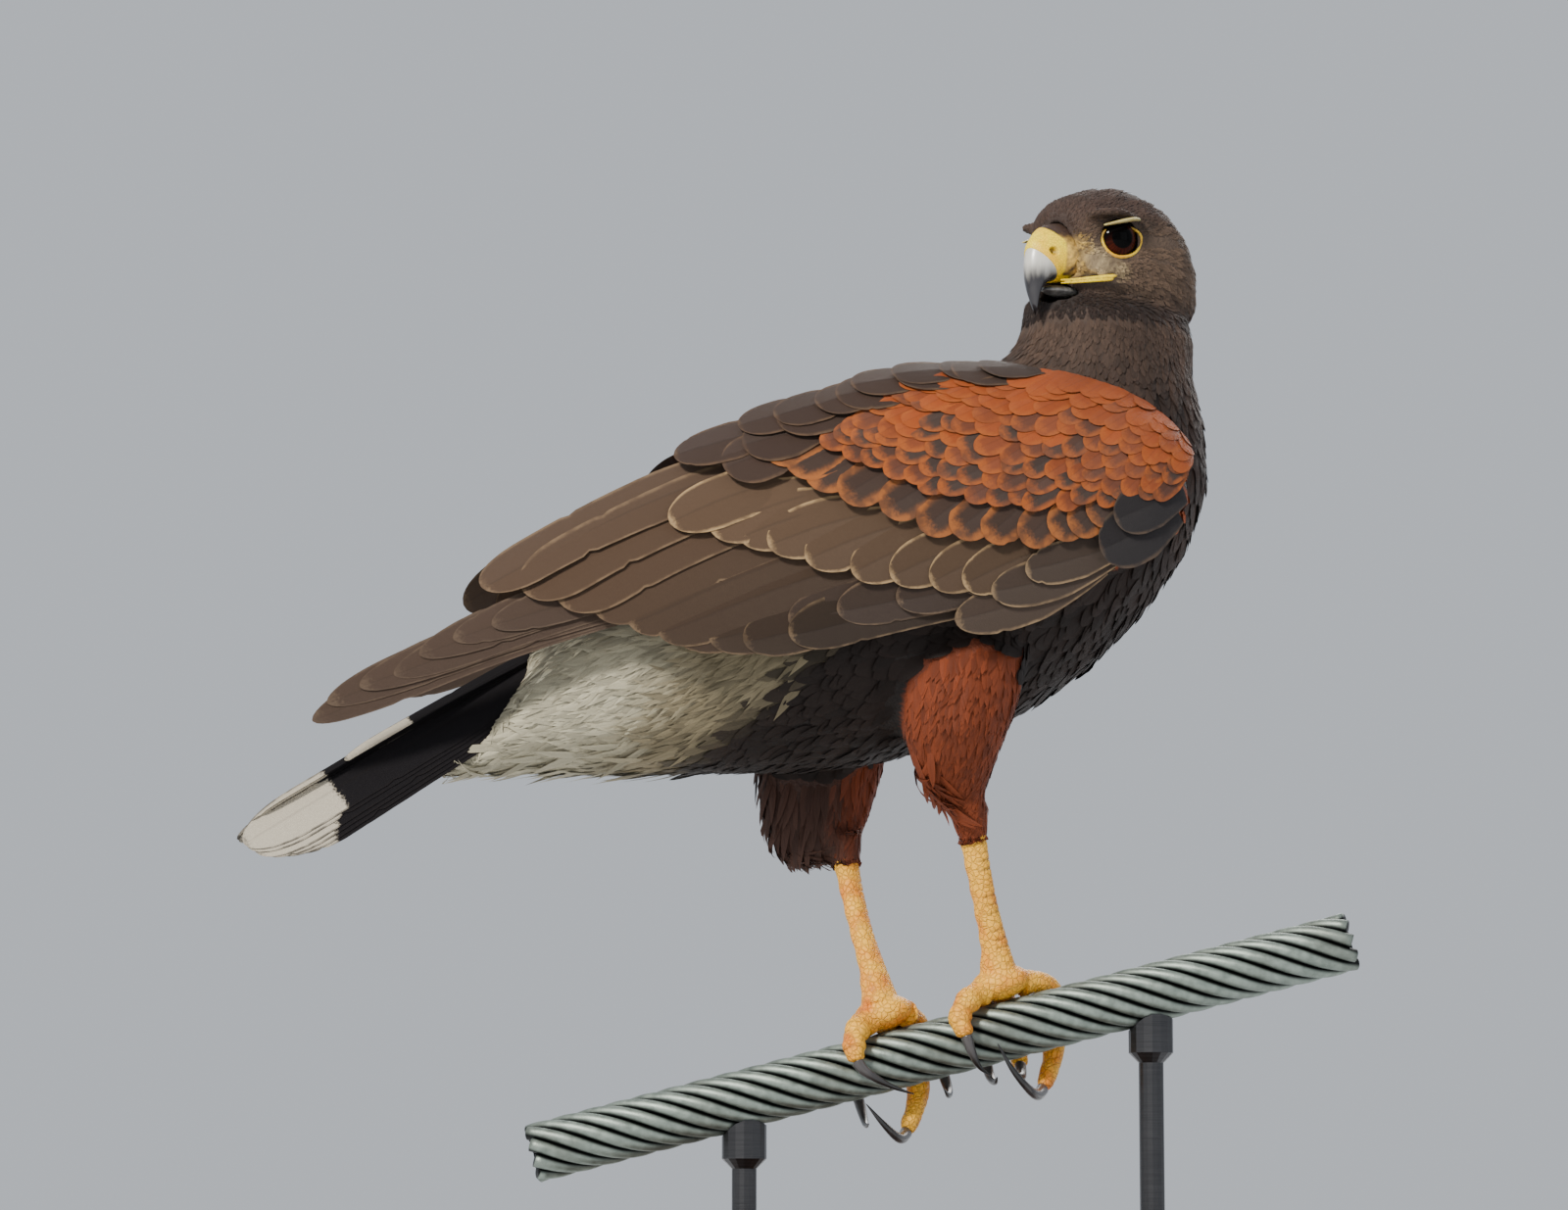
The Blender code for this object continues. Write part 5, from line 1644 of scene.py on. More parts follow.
    def roots(self, dice: np.random.Generator) -> tuple[Array, Array, dict[str, Array], Array]:
        """Places of the feathers, evenly spread by their size.

        Args:
            dice: The source of random draws.

        Returns:
            Places, part labels, sizes and home places on the unwrap.
        """
        skin = self.skin
        corner = skin.points[skin.faces]
        centre = corner.mean(axis=1)
        area = np.linalg.norm(np.cross(corner[:, 2] - corner[:, 0], corner[:, 3] - corner[:, 1]), axis=1) / 2
        label = skin.parts(centre)
        sizes = self.sizes(centre, label)
        chance = area / sizes["spacing"] ** 2 * ~self.hidden(centre, label)
        for name, (kind, reach) in self.bare.items():
            tree = solid_tree(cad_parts[name])
            for i in np.flatnonzero(kind.among(label) & (chance > 0)):
                near, normal, _, _ = tree.find_nearest(centre[i].tolist())
                if (Vector(centre[i]) - near) @ normal < reach:
                    chance[i] = 0.0
        chosen = dice.choice(len(centre), self.candidates, p=chance / chance.sum())
        s, t = dice.random((2, self.candidates, 1))
        a, b, c, d = (corner[chosen, k] for k in range(4))
        spots = a * (1 - s) * (1 - t) + b * s * (1 - t) + c * s * t + d * (1 - s) * t
        spacing = sizes["spacing"][chosen]
        tree = point_tree(spots)
        alive = np.ones(len(spots), bool)
        kept = []
        for i, (spot, reach) in enumerate(zip(spots.tolist(), spacing.tolist())):
            if alive[i]:
                kept.append(i)
                for _, j, _ in tree.find_range(spot, reach):
                    alive[j] = False
        face = chosen[kept]
        sizes = {key: value[face] for key, value in sizes.items()}
        return spots[kept], label[face], sizes, skin.home(face)

    def march(self, start: Array, label: Array, sizes: dict[str, Array], rows: int,
              dice: np.random.Generator) -> tuple[Array, Array]:
        """Lays feathers along the skin from their roots.

        Args:
            start: Roots.
            label: Part of the body at each root.
            sizes: Length, lift, cling and spread of direction of each feather.
            rows: Rows of each vane.
            dice: The source of random draws.

        Returns:
            Paths and directions out of the feathers, each feathers by rows by coordinates.
        """
        share = vane_rows(rows)
        place, normal, _ = self.skin.nearest(start)
        length = sizes["length"] * dice.uniform(*self.length_spread, len(start))
        way = self.lie(start, label)
        way = unit(way - normal * dot(way, normal))
        side = np.cross(normal, way)
        swing = dice.normal(0, 1, (len(start), 1)) * sizes["turned"][:, None]
        way = unit(way * np.cos(swing) + side * np.sin(swing))
        lift = sizes["lift"] * dice.uniform(*self.lift_spread, len(start))
        lift = lift + dice.uniform(*self.stray_lift, len(start)) * (dice.random(len(start)) < sizes["stray"])
        path, out = [], []
        flat = place.copy()
        for k in range(rows + 1):
            if k:
                ahead = flat + way * ((share[k] - share[k - 1]) * length)[:, None]
                near, normal_here, _ = self.skin.nearest(ahead)
                cling = sizes["cling"][:, None]
                flat = blend(ahead, near, cling)
                normal = unit(blend(normal, normal_here, cling))
                way = unit(way - normal * dot(way, normal) * cling)
            height = (lift + self.root_depth) * share[k] ** 0.8 - self.root_depth
            path.append(flat + normal * height[:, None])
            out.append(normal)
        return np.stack(path, axis=1), np.stack(out, axis=1)

    def fringe(self, points: Array, label: Array, pigment: Array) -> Array:
        """Fringes of the contour feathers.

        Args:
            points: Places in the bird's frame.
            label: The part of the body at each place.
            pigment: Colour of each feather.

        Returns:
            Colours with their strength, as rows of four.
        """
        back = column((0.0, 0.7), MARKINGS.rise(points)) * column((280.0, 255.0), points[:, 2])
        out = blend(np.minimum(pigment * 1.5, 0.85), tint(140, 112, 84), back)
        out[:, 3] = 0.22 + 0.34 * back[:, 0]
        thigh, head = pigment * 1.5, np.clip(pigment * 1.9, 0, 1)
        thigh[:, 3], head[:, 3] = 0.4, 0.45
        own = {Part.THIGH: thigh, Part.ARM: tint(178, 96, 48, 0.5), Part.HEAD: head}
        for part, colour in own.items():
            out = np.where(part.among(label)[:, None], colour, out)
        return out

    def build(self) -> list[Thing]:
        """Makes the contour feathers in pieces by size.

        Returns:
            The pieces.
        """
        dice = np.random.default_rng(SEED)
        start, label, sizes, home = self.roots(dice)
        log.info("contour feathers: %d", len(start))
        pigment = MARKINGS.pigment(start, label)
        pale = pigment[:, 2:3] > 0.3
        pigment[:, :3] *= dice.uniform(0.72 + 0.1 * pale, 1.28 - 0.2 * pale, (len(start), 1))
        fringe = self.fringe(start, label, pigment)
        finish = VaneFinish("contour feathers").material()
        head, thigh, vent = Part.HEAD.among(label), Part.THIGH.among(label), sizes["vent"] > 0.5
        groups = (
            ("head_feathers", head, Vanes("", 5, 2, 0.12, 0.05, 0.9), 4500),
            ("thigh_feathers", thigh, Vanes("", 6, 2, 0.14, 0.06, 0.9), 3800),
            ("vent_feathers", vent, Vanes("", 8, 2, 0.14, 0.05, 1.3), 2900),
            ("body_feathers", ~head & ~thigh & ~vent, Vanes("", 6, 2, 0.18, 0.07, 0.7), 3800),
        )
        made = []
        for name, chosen, vanes, most in groups:
            members = np.flatnonzero(chosen)
            members = members[np.argsort(start[members, 0] + start[members, 2] * 2)]
            pieces = max(1, math.ceil(len(members) / most))
            for i, part in enumerate(np.array_split(members, pieces)):
                picked = {key: value[part] for key, value in sizes.items()}
                path, out = self.march(start[part], label[part], picked, vanes.rows, dice)
                _, wide = vanes.outline(0.4)
                half = picked["width"][:, None] * 0.5 * wide[None] * self.overlap
                half = half * dice.uniform(*self.width_spread, (len(part), 1))
                camber = picked["width"] * self.camber
                vanes.name = f"{name}_{i + 1}"
                piece = vanes.build(path, out, half, camber, pigment[part], fringe[part], home[part])
                slot = "rufous_plumage" if name == "thigh_feathers" else "brown_plumage"
                made.append(dress(piece, finish, slot))
        return made


@dataclass(frozen=True)
class Tier:
    """A row of overlapping feathers between a curve of roots and a curve of tips, innermost first.

    Curves are rows of place along the body and height. Pairs hold the first feather's value and the
    last one's, but for lift, which holds the tip's and the root's.
    """

    name: str
    tips: tuple
    roots: tuple
    count: int
    width: tuple
    pigment: tuple
    fringe: tuple
    lift: tuple = (0.6, -3.6)
    bow: tuple = (0, 0)
    # how far each feather leans over the next one
    tilt: float = 0.13
    # share of the length where the tip begins to round off
    point: float = 0.62
    # spread of brightness, and of the tips' places
    vary: float = 0.10
    jitter: float = 0.8
    # share of the dark pigment, and how much darker the last feather is: painted shade where the wing curves
    # under, partly the feathers' own darker colour
    dark: float = -1.0
    fade: float = 0.0


def lesser_rows() -> list[Tier]:
    """The small rufous coverts, in rows up to the wing's front edge.

    Returns:
        The rows, from the lowest up.
    """
    lowest = np.array(((-64, 234), (-38, 223), (-12, 215), (16, 212), (44, 215), (74, 219)), float)
    highest = np.array(((-24, 264), (-4, 263), (18, 262), (42, 260), (66, 255), (88, 243)), float)
    made = []
    rows = 9
    for row in range(rows):
        share = row / (rows - 1)
        tips = lowest * (1 - share) + highest * share
        roots = tips + np.array(((22, 9), (22, 11), (22, 12), (21, 13), (19, 13), (15, 12)), float)
        made.append(Tier(
            f"lesser_coverts_{row + 1}", tuple(map(tuple, tips)), tuple(map(tuple, roots)),
            17 - row % 2, (12.5, 9.5), (148, 68, 24), (166, 86, 34, 0.92 - 0.5 * share**2),
            lift=(1.1 - 0.06 * row, -1.4), tilt=0.05, vary=0.16, jitter=1.6, dark=1.25 - 1.6 * share))
    return made


@dataclass
class Wings:
    """Both folded wings: flight feathers, coverts, alula and scapulars."""

    # how much further in the far wing's primaries lie, along the body and up
    far_tuck: tuple = (40.0, 14.4)
    lift_jitter: float = 0.15
    tilt_spread: tuple = (0.8, 1.2)
    flight_lean: float = 0.16
    camber: float = 0.08
    dark: tuple = (64, 49, 42)
    flight: tuple = (
        Tier("primaries", ((-257, 126), (-247, 135), (-228, 142), (-212, 154), (-190, 163)),
             ((-8, 194), (-12, 190), (-16, 196), (-22, 198), (-26, 192)), 7, (17, 17), (68, 53, 43),
             (112, 94, 76, 0.4), (-0.6, -9.5), (14, 8), 0.05, 0.8, 0.05),
        Tier("secondaries",
             ((-193, 179), (-171, 174), (-153, 167), (-134, 161), (-118, 157), (-101, 156), (-76, 161)),
             ((-60, 240), (-46, 232), (-28, 219), (-5, 206), (21, 196), (40, 190), (52, 188)), 10, (30, 21),
             (78, 59, 44), (148, 122, 92, 0.42), (0.0, -6.0), (7, 2), 0.07, 0.84, 0.07, fade=0.65),
        Tier("inner_secondaries", ((-76, 163), (-44, 171), (-8, 180)), ((52, 190), (60, 194), (66, 198)),
             4, (21, 18), (58, 45, 37), (130, 106, 82, 0.5), (-0.6, -5.0), (2, 0), 0.07, 0.8, 0.07),
    )
    large: tuple = (
        Tier("greater_coverts", ((-121, 203), (-99, 197), (-83, 192), (-54, 184), (-29, 180), (-6, 179)),
             ((-70, 224), (-50, 215), (-32, 209), (-8, 204), (16, 199), (36, 198)), 9, (24, 20),
             (86, 66, 49), (172, 142, 102, 0.85), (0.5, -4.2), (2, 1), 0.08, fade=0.25),
        Tier("primary_coverts", ((-10, 167), (5, 177), (20, 186)), ((52, 190), (57, 194), (62, 199)),
             3, (20, 17), (66, 53, 44), (150, 124, 92, 0.8), (0.8, -3.6), (-3, -1), 0.08),
        Tier("alula", ((48, 196), (54, 206)), ((84, 214), (88, 222)), 2, (25, 20),
             (34, 30, 31), (104, 84, 66, 0.5), (2.4, -2.2), (-1, 0), 0.06),
        Tier("scapulars_1", ((-116, 231), (-98, 226), (-88, 240), (-62, 252), (-34, 263), (-6, 269)),
             ((-76, 246), (-66, 240), (-54, 250), (-28, 262), (0, 269), (28, 272)), 7, (27, 24),
             (58, 43, 35), (112, 86, 62, 0.5), (1.3, -2.2), (0, 0), 0.05),
        Tier("scapulars_2", ((-92, 244), (-70, 250), (-46, 259), (-20, 266), (6, 270)),
             ((-58, 256), (-38, 262), (-14, 269), (10, 274), (34, 274)), 7, (23, 21),
             (58, 43, 35), (112, 86, 62, 0.45), (1.5, -1.6), (0, 0), 0.05),
    )
    small: tuple = (
        Tier("median_coverts",
             ((-82, 229), (-73, 222), (-60, 215), (-38, 206), (-18, 200), (0, 199), (20, 196), (34, 200),
              (45, 206)),
             ((-57, 244), (-47, 237), (-34, 231), (-13, 223), (6, 218), (22, 218), (40, 216), (53, 218),
              (61, 222)),
             12, (20, 16), (62, 45, 36), (160, 94, 46, 0.95), (1.0, -3.2), (0, 0), 0.08, dark=0.5),
        *lesser_rows(),
    )

    def lay(self, tier: Tier, side: int, vanes: Vanes,
            dice: np.random.Generator) -> tuple[Array, Array, Array]:
        """Paths of one tier's feathers on a wing.

        Args:
            tier: The tier.
            side: 1 for the left wing and -1 for the right.
            vanes: The mesh pattern of the feathers.
            dice: The source of random draws.

        Returns:
            Paths, directions out and half widths.
        """
        tucked = side > 0 and tier.name == "primaries"
        shift = np.array(self.far_tuck if tucked else (0.0, 0.0))
        share, wide = vanes.outline(tier.point, 0.55)
        paths, outs, halves = [], [], []
        curves = (spline(line, tier.count) for line in (tier.tips, tier.roots))
        for i, (tip, root) in enumerate(zip(*curves)):
            part = i / (tier.count - 1)
            tip = tip + shift + dice.normal(0, tier.jitter, 2)
            run = tip - root
            normal = np.array([-run[1], run[0]]) / np.linalg.norm(run)
            normal = normal if normal[1] > 0 else -normal
            bow = tier.bow[0] + (tier.bow[1] - tier.bow[0]) * part
            spot = root + run * share[:, None] + normal * (bow * 4 * share * (1 - share))[:, None]
            rise = tier.lift[0] + dice.normal(0, self.lift_jitter) - tier.lift[1]
            lift = tier.lift[1] + rise * share**0.8
            place, out = WING.point(spot[:, 0], spot[:, 1], lift, side)
            across = unit(np.cross(out, unit(np.gradient(place, axis=0))))
            paths.append(place)
            outs.append(unit(out + side * tier.tilt * dice.uniform(*self.tilt_spread) * across))
            width = tier.width[0] + (tier.width[1] - tier.width[0]) * part
            halves.append(np.maximum(width / 2 * wide, 0.4))
        return np.array(paths), np.array(outs), np.array(halves)

    def build(self) -> list[Thing]:
        """Makes the feathers of both wings.

        Returns:
            The pieces.
        """
        dice = np.random.default_rng(SEED + 1)
        made = []
        kinds = (
            ("flight_feathers", self.flight, 44, 0.86, 0.975),
            ("large_coverts", self.large, 24, 0.84, 0.94),
            ("small_coverts", self.small, 12, 0.45, 0.76),
        )
        for kind, tiers, rows, edge, tip in kinds:
            finish = VaneFinish(kind.replace("_", " "), barb=0.5, shaft=0.35, edge=edge, tip=tip).material()
            for word, side in SIDES.items():
                vanes = Vanes(f"{kind}_{word}", rows, 8, 0.22, 0.12)
                rows_of_feathers = [self.tier_feathers(tier, side, vanes, dice) for tier in tiers]
                path, out, half, pigment, fringe = (np.concatenate(part) for part in zip(*rows_of_feathers))
                home, patch = cells_of_map(len(path))
                lean = -self.flight_lean * side if kind == "flight_feathers" else 0.0
                piece = vanes.build(path, out, half, half.max(axis=1) * self.camber, pigment, fringe,
                                    home, patch, lean)
                made.append(dress(piece, finish, "rufous_plumage", f"wing_{word}"))
        return made

    def tier_feathers(self, tier: Tier, side: int, vanes: Vanes, dice: np.random.Generator) -> tuple:
        """Shapes and colours of one tier's feathers.

        Args:
            tier: The tier.
            side: 1 for the left wing and -1 for the right.
            vanes: The mesh pattern of the feathers.
            dice: The source of random draws.

        Returns:
            Paths, directions out, half widths, pigments and fringes.
        """
        path, out, half = self.lay(tier, side, vanes, dice)
        count = len(path)
        bright = dice.uniform(1 - tier.vary, 1 + tier.vary, (count, 1))
        dark = np.clip(dice.normal(tier.dark, 0.35, (count, 1)), 0, 1)
        pigment = blend(tint(*tier.pigment), tint(*self.dark), dark)
        # later feathers darkened by the fade: painted shade where the wing curves under, partly their own
        # darker colour
        pigment[:, :3] *= bright * (1 - tier.fade * np.linspace(0, 1, count)[:, None])
        return path, out, self.fray(half, dice), pigment, np.tile(tint(*tier.fringe), (count, 1))

    @staticmethod
    def fray(half: Array, dice: np.random.Generator) -> Array:
        """Small splits and wear along the edges of vanes.

        Args:
            half: Half widths: feathers and rows.
            dice: The source of random draws.

        Returns:
            The worn half widths.
        """
        count, rows = half.shape
        wear = 1 - 0.012 * dice.random((count, rows))
        for row in np.flatnonzero(dice.random(count) < rows / 60):
            wear[row, dice.integers(rows // 2, rows - 3)] -= dice.uniform(0.04, 0.1)
        return half * wear


def cells_of_map(count: int) -> tuple[Array, tuple[float, float]]:
    """Gives every large feather its own cell of the baking map.

    Args:
        count: How many feathers there are.

    Returns:
        Middles of the cells, and the size of a feather in its cell.
    """
    columns = math.ceil(math.sqrt(count * 3))
    lines = math.ceil(count / columns)
    i = np.arange(count)
    home = np.stack([(i % columns + 0.5) / columns, (i // columns + 0.5) / lines], axis=-1)
    return home, (0.9 / columns, 0.94 / lines)


@dataclass
class Tail:
    """Twelve tail feathers stacked from the middle pair down, with a short new one on top."""

    base: tuple = (-122.0, 0.0, 180.0)
    tip: tuple = (-287.0, 0.0, 84.0)
    pairs: int = 6
    width: float = 22.0
    # turn of the whole tail about its length, and slope of each half
    roll: float = math.radians(18.0)
    bank: float = math.radians(40.0)
    # how far down its slope the middle pair lies, and each pair beyond it
    down: tuple = (8.0, 2.2)
    # how much shorter the outermost pair is, and how far each pair lies under the one before
    grade: float = 13.0
    step: float = 0.35
    # width of the white tip on the middle pair and on the outermost one
    band: tuple = (42.0, 18.0)
    droop: float = 0.15
    # share of the length, width and place of the short feather on top
    short: float = 0.73
    short_width: float = 6.5
    short_place: tuple = (-3.0, 1.4)
    sag: float = 1.6
    root_fan: float = 0.4
    root_width: float = 0.45
    pigment: tuple = (22, 20, 22)
    fringe: tuple = (30, 26, 26, 0.6)

    def axes(self) -> tuple[Array, Array, Array, float]:
        """Directions along, across and over the tail, and its length.

        Returns:
            Three directions and the length.
        """
        base, tip = np.array(self.base), np.array(self.tip)
        length = float(np.linalg.norm(tip - base))
        ahead = (tip - base) / length
        flat = np.array([0.0, 1.0, 0.0])
        across = flat * math.cos(self.roll) - np.cross(ahead, flat) * math.sin(self.roll)
        over = np.cross(across, ahead)
        return ahead, across, over if over[2] > 0 else -over, length

    def build(self) -> list[Thing]:
        """Makes the tail feathers.

        Returns:
            The pieces.
        """
        dice = np.random.default_rng(SEED + 2)
        ahead, across, over, length = self.axes()
        base = np.array(self.base)
        vanes = Vanes("tail_feathers", 60, 12, 0.22, 0.1)
        share, wide = vanes.outline(0.86, 0.5)
        paths, outs, halves, bands = [], [], [], []
        order = [(pair, side, 1.0) for pair in range(self.pairs) for side in (-1, 1)]
        for pair, side, part in [*order, (0, -1, self.short)]:
            out_share = pair / (self.pairs - 1)
            end = (length - self.grade * out_share**2) * part
            slope = across * side * math.cos(self.bank) - over * math.sin(self.bank)
            out = over * math.cos(self.bank) + across * side * math.sin(self.bank)
            fan, low, narrow = self.down[0] + self.down[1] * pair, self.step * pair, self.width / 2
            if part < 1:
                fan, low, narrow = self.short_place[0], -self.short_place[1], self.short_width / 2
            opening = self.root_fan + (1 - self.root_fan) * share
            spread = fan * opening + dice.normal(0, 0.5) * share**2
            path = base + ahead * (end * share)[:, None] + slope * spread[:, None]
            paths.append(path - out * low - over * (self.sag * share**2)[:, None])
            outs.append(np.tile(out, (len(share), 1)))
            halves.append(narrow * wide * blend(self.root_width, 1.0, np.minimum(1, share * 2)))
            edge = self.band[0] + (self.band[1] - self.band[0]) * out_share
            bands.append((edge * part - end * (1 - share)) / 10.0)
        count = len(paths)
        pigment, fringe = (np.tile(tint(*colour), (count, 1)) for colour in (self.pigment, self.fringe))
        pigment[:, :3] *= dice.uniform(0.85, 1.15, (count, 1))
        piece = vanes.build(np.array(paths), np.array(outs), Wings.fray(np.array(halves), dice),
                            np.full(count, self.droop), pigment, fringe, *cells_of_map(count),
                            band=np.array(bands))
        finish = VaneFinish("tail feathers", barb=0.5, shaft=0.3, banded=True, edge=0.9, tip=0.985,
                            sheen=0.0, gloss=0.1)
        return [dress(piece, finish.material(), "black_plumage", "tail")]


@dataclass
class Face:
    """Eyes, lids, brows, cere, bill and the lips of the mouth."""

    # stations of each bill half, from its root: ridge point, edge point and half width
    upper: tuple = (
        ((14.0, 8.0), (12.5, -16.0), 12.2), ((20.5, 7.4), (18.5, -16.2), 10.4),
        ((26.0, 5.6), (22.5, -16.4), 8.8), ((30.4, 1.8), (25.5, -17.2), 7.2),
        ((33.6, -4.4), (27.8, -18.8), 5.8), ((35.0, -11.6), (29.4, -20.8), 4.6),
        ((34.8, -19.0), (30.4, -23.6), 3.2), ((33.2, -26.0), (31.2, -28.0), 1.6),
    )
    tip: tuple = (31.6, -31.2)
    lower: tuple = (
        ((9.0, -17.4), (7.0, -22.8), 6.8), ((17.0, -17.6), (15.6, -22.6), 5.7),
        ((22.0, -18.0), (21.2, -21.6), 4.3), ((25.4, -18.8), (25.0, -20.8), 2.4),
    )
    nostril_at: tuple = (26.6, 8.6, -5.0)
    nostril_radius: float = 1.6
    nostril_depth: float = 2.4
    cere_lift: float = 0.25
    rim_height: float = 0.35
    horn_root: float = -0.3
    # how far down the bill the horn darkens: the real dark hook, and partly painted shade under the bill
    horn_height: float = 29.0
    # the lower bill a middle grey: partly its own colour, partly painted shade under the gape
    lower_way: float = 0.5
    cere_edge: tuple = (0.85, 36.0)
    gape: tuple = (
        (24.0, 7.9, -17.6), (18.5, 10.8, -17.4), (13.0, 15.3, -17.1), (8.5, 18.3, -16.8), (4.0, 20.8, -16.5),
    )
    brow: tuple = ((-8.5, 23.4, 7.6), (-3, 26.2, 7.2), (4, 26.8, 6.0), (12.5, 23.4, 4.2))
    brow_radii: tuple = (0.2, 0.72)
    # height over the gape, radius and share of the gape's length, for the upper lip and the lower
    lips: tuple = ((0.62, 1.0, 1.0), (-0.62, 0.85, 0.94))
    voxel: float = 0.36
    yellow_from: float = 21.6
    yellow_slant: float = 0.8
    eye_radius: float = 9.6
    eye_sink: float = 6.4
    cornea: float = 0.35
    behind: float = 20.0
    lid_radius: float = 8.3
    lid_thick: float = 0.78
    lid_reach: tuple = (-0.5, 1.7)
    # turn of the painted shadow of the brow over the eye's top
    brow_shadow_lean: float = 0.5
    lid_top: float = 0.6
    lid_low: float = 0.94

    @staticmethod
    def bill_rings(stations: tuple, first: Array, last: Array, count: int, sides: int, grow: float) -> Array:
        """Rings of a bill half between two of its stations.

        Args:
            stations: Ridge point, edge point and half width, from root to tip.
            first: Number of the first station, with fractions, for each point round a ring or for all.
            last: Number of the last station, for each point round a ring or for all.
            count: How many rings.
            sides: Points in a ring.
            grow: How far the surface stands out of the stations.

        Returns:
            Array of rings, points and coordinates, on the head.
        """
        steps = 400
        fine = spline([(*ridge, *edge, half) for ridge, edge, half in stations], steps)
        turn = full_turn(sides)
        first, last = np.broadcast_to(first, sides), np.broadcast_to(last, sides)
        where = (first + (last - first) * np.linspace(0, 1, count)[:, None]) / (len(stations) - 1)
        tx, tz, bx, bz, half = (np.interp(where * (steps - 1), np.arange(steps), line) for line in fine.T)
        level = np.cos(turn) * (1 + 2 * grow / np.hypot(tx - bx, tz - bz))
        x = (tx + bx) / 2 + (tx - bx) / 2 * level
        z = (tz + bz) / 2 + (tz - bz) / 2 * level
        flare = 1 - 0.22 * np.cos(turn)
        return np.stack([x, (half + grow) * flare * np.sin(turn), z], axis=-1)

    def cere_ends(self, sides: int) -> Array:
        """Numbers of the stations at which the cere ends, for each point round a ring.

        Args:
            sides: Points in a ring.

        Returns:
            The numbers, with fractions.
        """
        trial = self.bill_rings(self.upper, 0.0, 5.0, 80, sides, self.cere_lift)
        beyond = trial[..., 0] - self.cere_edge[0] * trial[..., 2] - self.cere_edge[1]
        return np.array([np.interp(0.0, line, np.linspace(0, 5, 80)) for line in beyond.T])

    def horn(self) -> list[Thing]:
        """The hooked upper bill and the lower bill.

        Returns:
            Both halves.
        """
        finish = HornFinish("bill horn", (200, 197, 188), (40, 38, 42)).material()
        rings = self.bill_rings(self.upper, self.cere_ends(64) + self.horn_root, 7.0, 60, 64, 0.0)
        upper = HEAD.solid("hooked_bill", rings, end=np.array([self.tip[0], 0, self.tip[1]]))
        # darker towards the bottom of the bill: the real dark hook, and partly painted shade under the bill
        paint_points(upper, "way", np.clip(-HEAD.to_head(corners(upper))[:, 2] / self.horn_height, 0, 1))
        rings = self.bill_rings(self.lower, 0.3, 3.0, 24, 40, 0.0)
        lower = HEAD.solid("lower_bill", rings, end=rings[-1].mean(axis=0) + (1.6, 0, -0.4))
        # the lower bill a middle grey: partly its own colour, partly painted shade under the gape
        paint_points(lower, "way", np.full(len(lower.data.vertices), self.lower_way))
        halves = {"bill_upper": upper, "bill_lower": lower}
        return [dress(piece, finish, "grey_horn", node) for node, piece in halves.items()]

    def cere(self) -> Thing:
        """The bare yellow skin at the bill's root, with the nostrils.

        Returns:
            The cere, fused with the lips.
        """
        sides, plain, rim = 84, 48, 12
        rings = self.bill_rings(self.upper, 0.0, self.cere_ends(sides), plain + rim, sides, self.cere_lift)
        swell = np.concatenate([np.zeros(plain), self.rim_height * np.sin(np.linspace(0, math.pi, rim))])
        centre = rings.mean(axis=1, keepdims=True)
        rings = rings + unit(rings - centre) * swell[:, None, None]
        crease = np.zeros(rings.shape[:2])
        for side in (-1, 1):
            spot = np.array(self.nostril_at) * (1, side, 1)
            away = np.linalg.norm((rings - spot) * (1.0, 0.5, 1.0), axis=2)
            pit = np.exp(-((away / self.nostril_radius) ** 4))
            edge = np.exp(-(((away - self.nostril_radius * 1.25) / 0.6) ** 2))
            rings[..., 1] -= side * (self.nostril_depth * pit - 0.3 * edge)
            # painted shade in the nostrils
            crease = np.maximum(crease, pit)
        forms = [HEAD.solid("cere", rings)]
        creases = [np.append(crease.ravel(), [0, 0]) * 1.4]
        along = np.linspace(0, 1, 30)
        for side in SIDES.values():
            path = spline(np.array(self.gape) * (1, side, 1), len(along))
            for drop, radius, reach in self.lips:
                line = spline(path[: round(len(along) * reach)], len(along))
                radii = radius * (0.4 + 0.6 * along) * np.sqrt(1.02 - along**14)
                rings = limb_rings(line + (0, 0, drop), radii, 14)
                forms.append(HEAD.solid("lip", rings))
                # painted shade along the mouth line between the lips
                inside = (rings[..., 2] - line[:, None, 2]) * np.sign(drop)
                creases.append(np.append(smoothstep(0.35, -0.1, inside).ravel(), [0, 0]))
        piece = fuse("cere_and_lips", forms, creases, self.voxel)
        places = corners(piece)
        hx, _, hz = HEAD.to_head(places).T
        behind = self.yellow_from + self.yellow_slant * np.maximum(hz, 0.0) - hx
        paint_points(piece, "fade", smoothstep(-1.6, 1.6, behind) * smoothstep(-15.6, -13.8, hz))
        paint_points(piece, "pigment", MARKINGS.pigment(places, np.full(len(places), Part.HEAD.value)))
        finish = HideFinish("cere", (255, 222, 40), (248, 192, 28), scale=900.0, relief=0.2, fading=True)
        return dress(piece, finish.material(), "yellow_cere", "cere")

    def trims(self) -> list[Thing]:
        """Lids and brow strips of bare yellow skin.

        Returns:
            The pieces.
        """
        yellow = HideFinish("lid skin", (246, 204, 46), (234, 170, 36), scale=1100.0, relief=0.25)
        pale = HideFinish("brow skin", (206, 194, 132), (184, 166, 96), 1100.0, 0.45, 0.25).material()
        yellow = yellow.material()
        made = []
        for word, side in SIDES.items():
            made.append(dress(self.lid(word, side), yellow, "yellow_cere"))
            path = spline(np.array(self.brow) * (1, side, 1), 24)
            thin, thick = self.brow_radii
            radii = thin + thick * np.sin(np.linspace(0.05, math.pi - 0.1, 24)) ** 0.6
            rings = limb_rings(path, radii, 14, 1.7)
            piece = HEAD.solid(f"brow_{word}", rings)
            # painted shade under the brow strip
            under = smoothstep(0.2, -0.9, (rings - path[:, None])[..., 2])
            paint_points(piece, "crease", np.append(under.ravel(), [0, 0]))
            made.append(dress(piece, pale, "yellow_cere"))
        return made

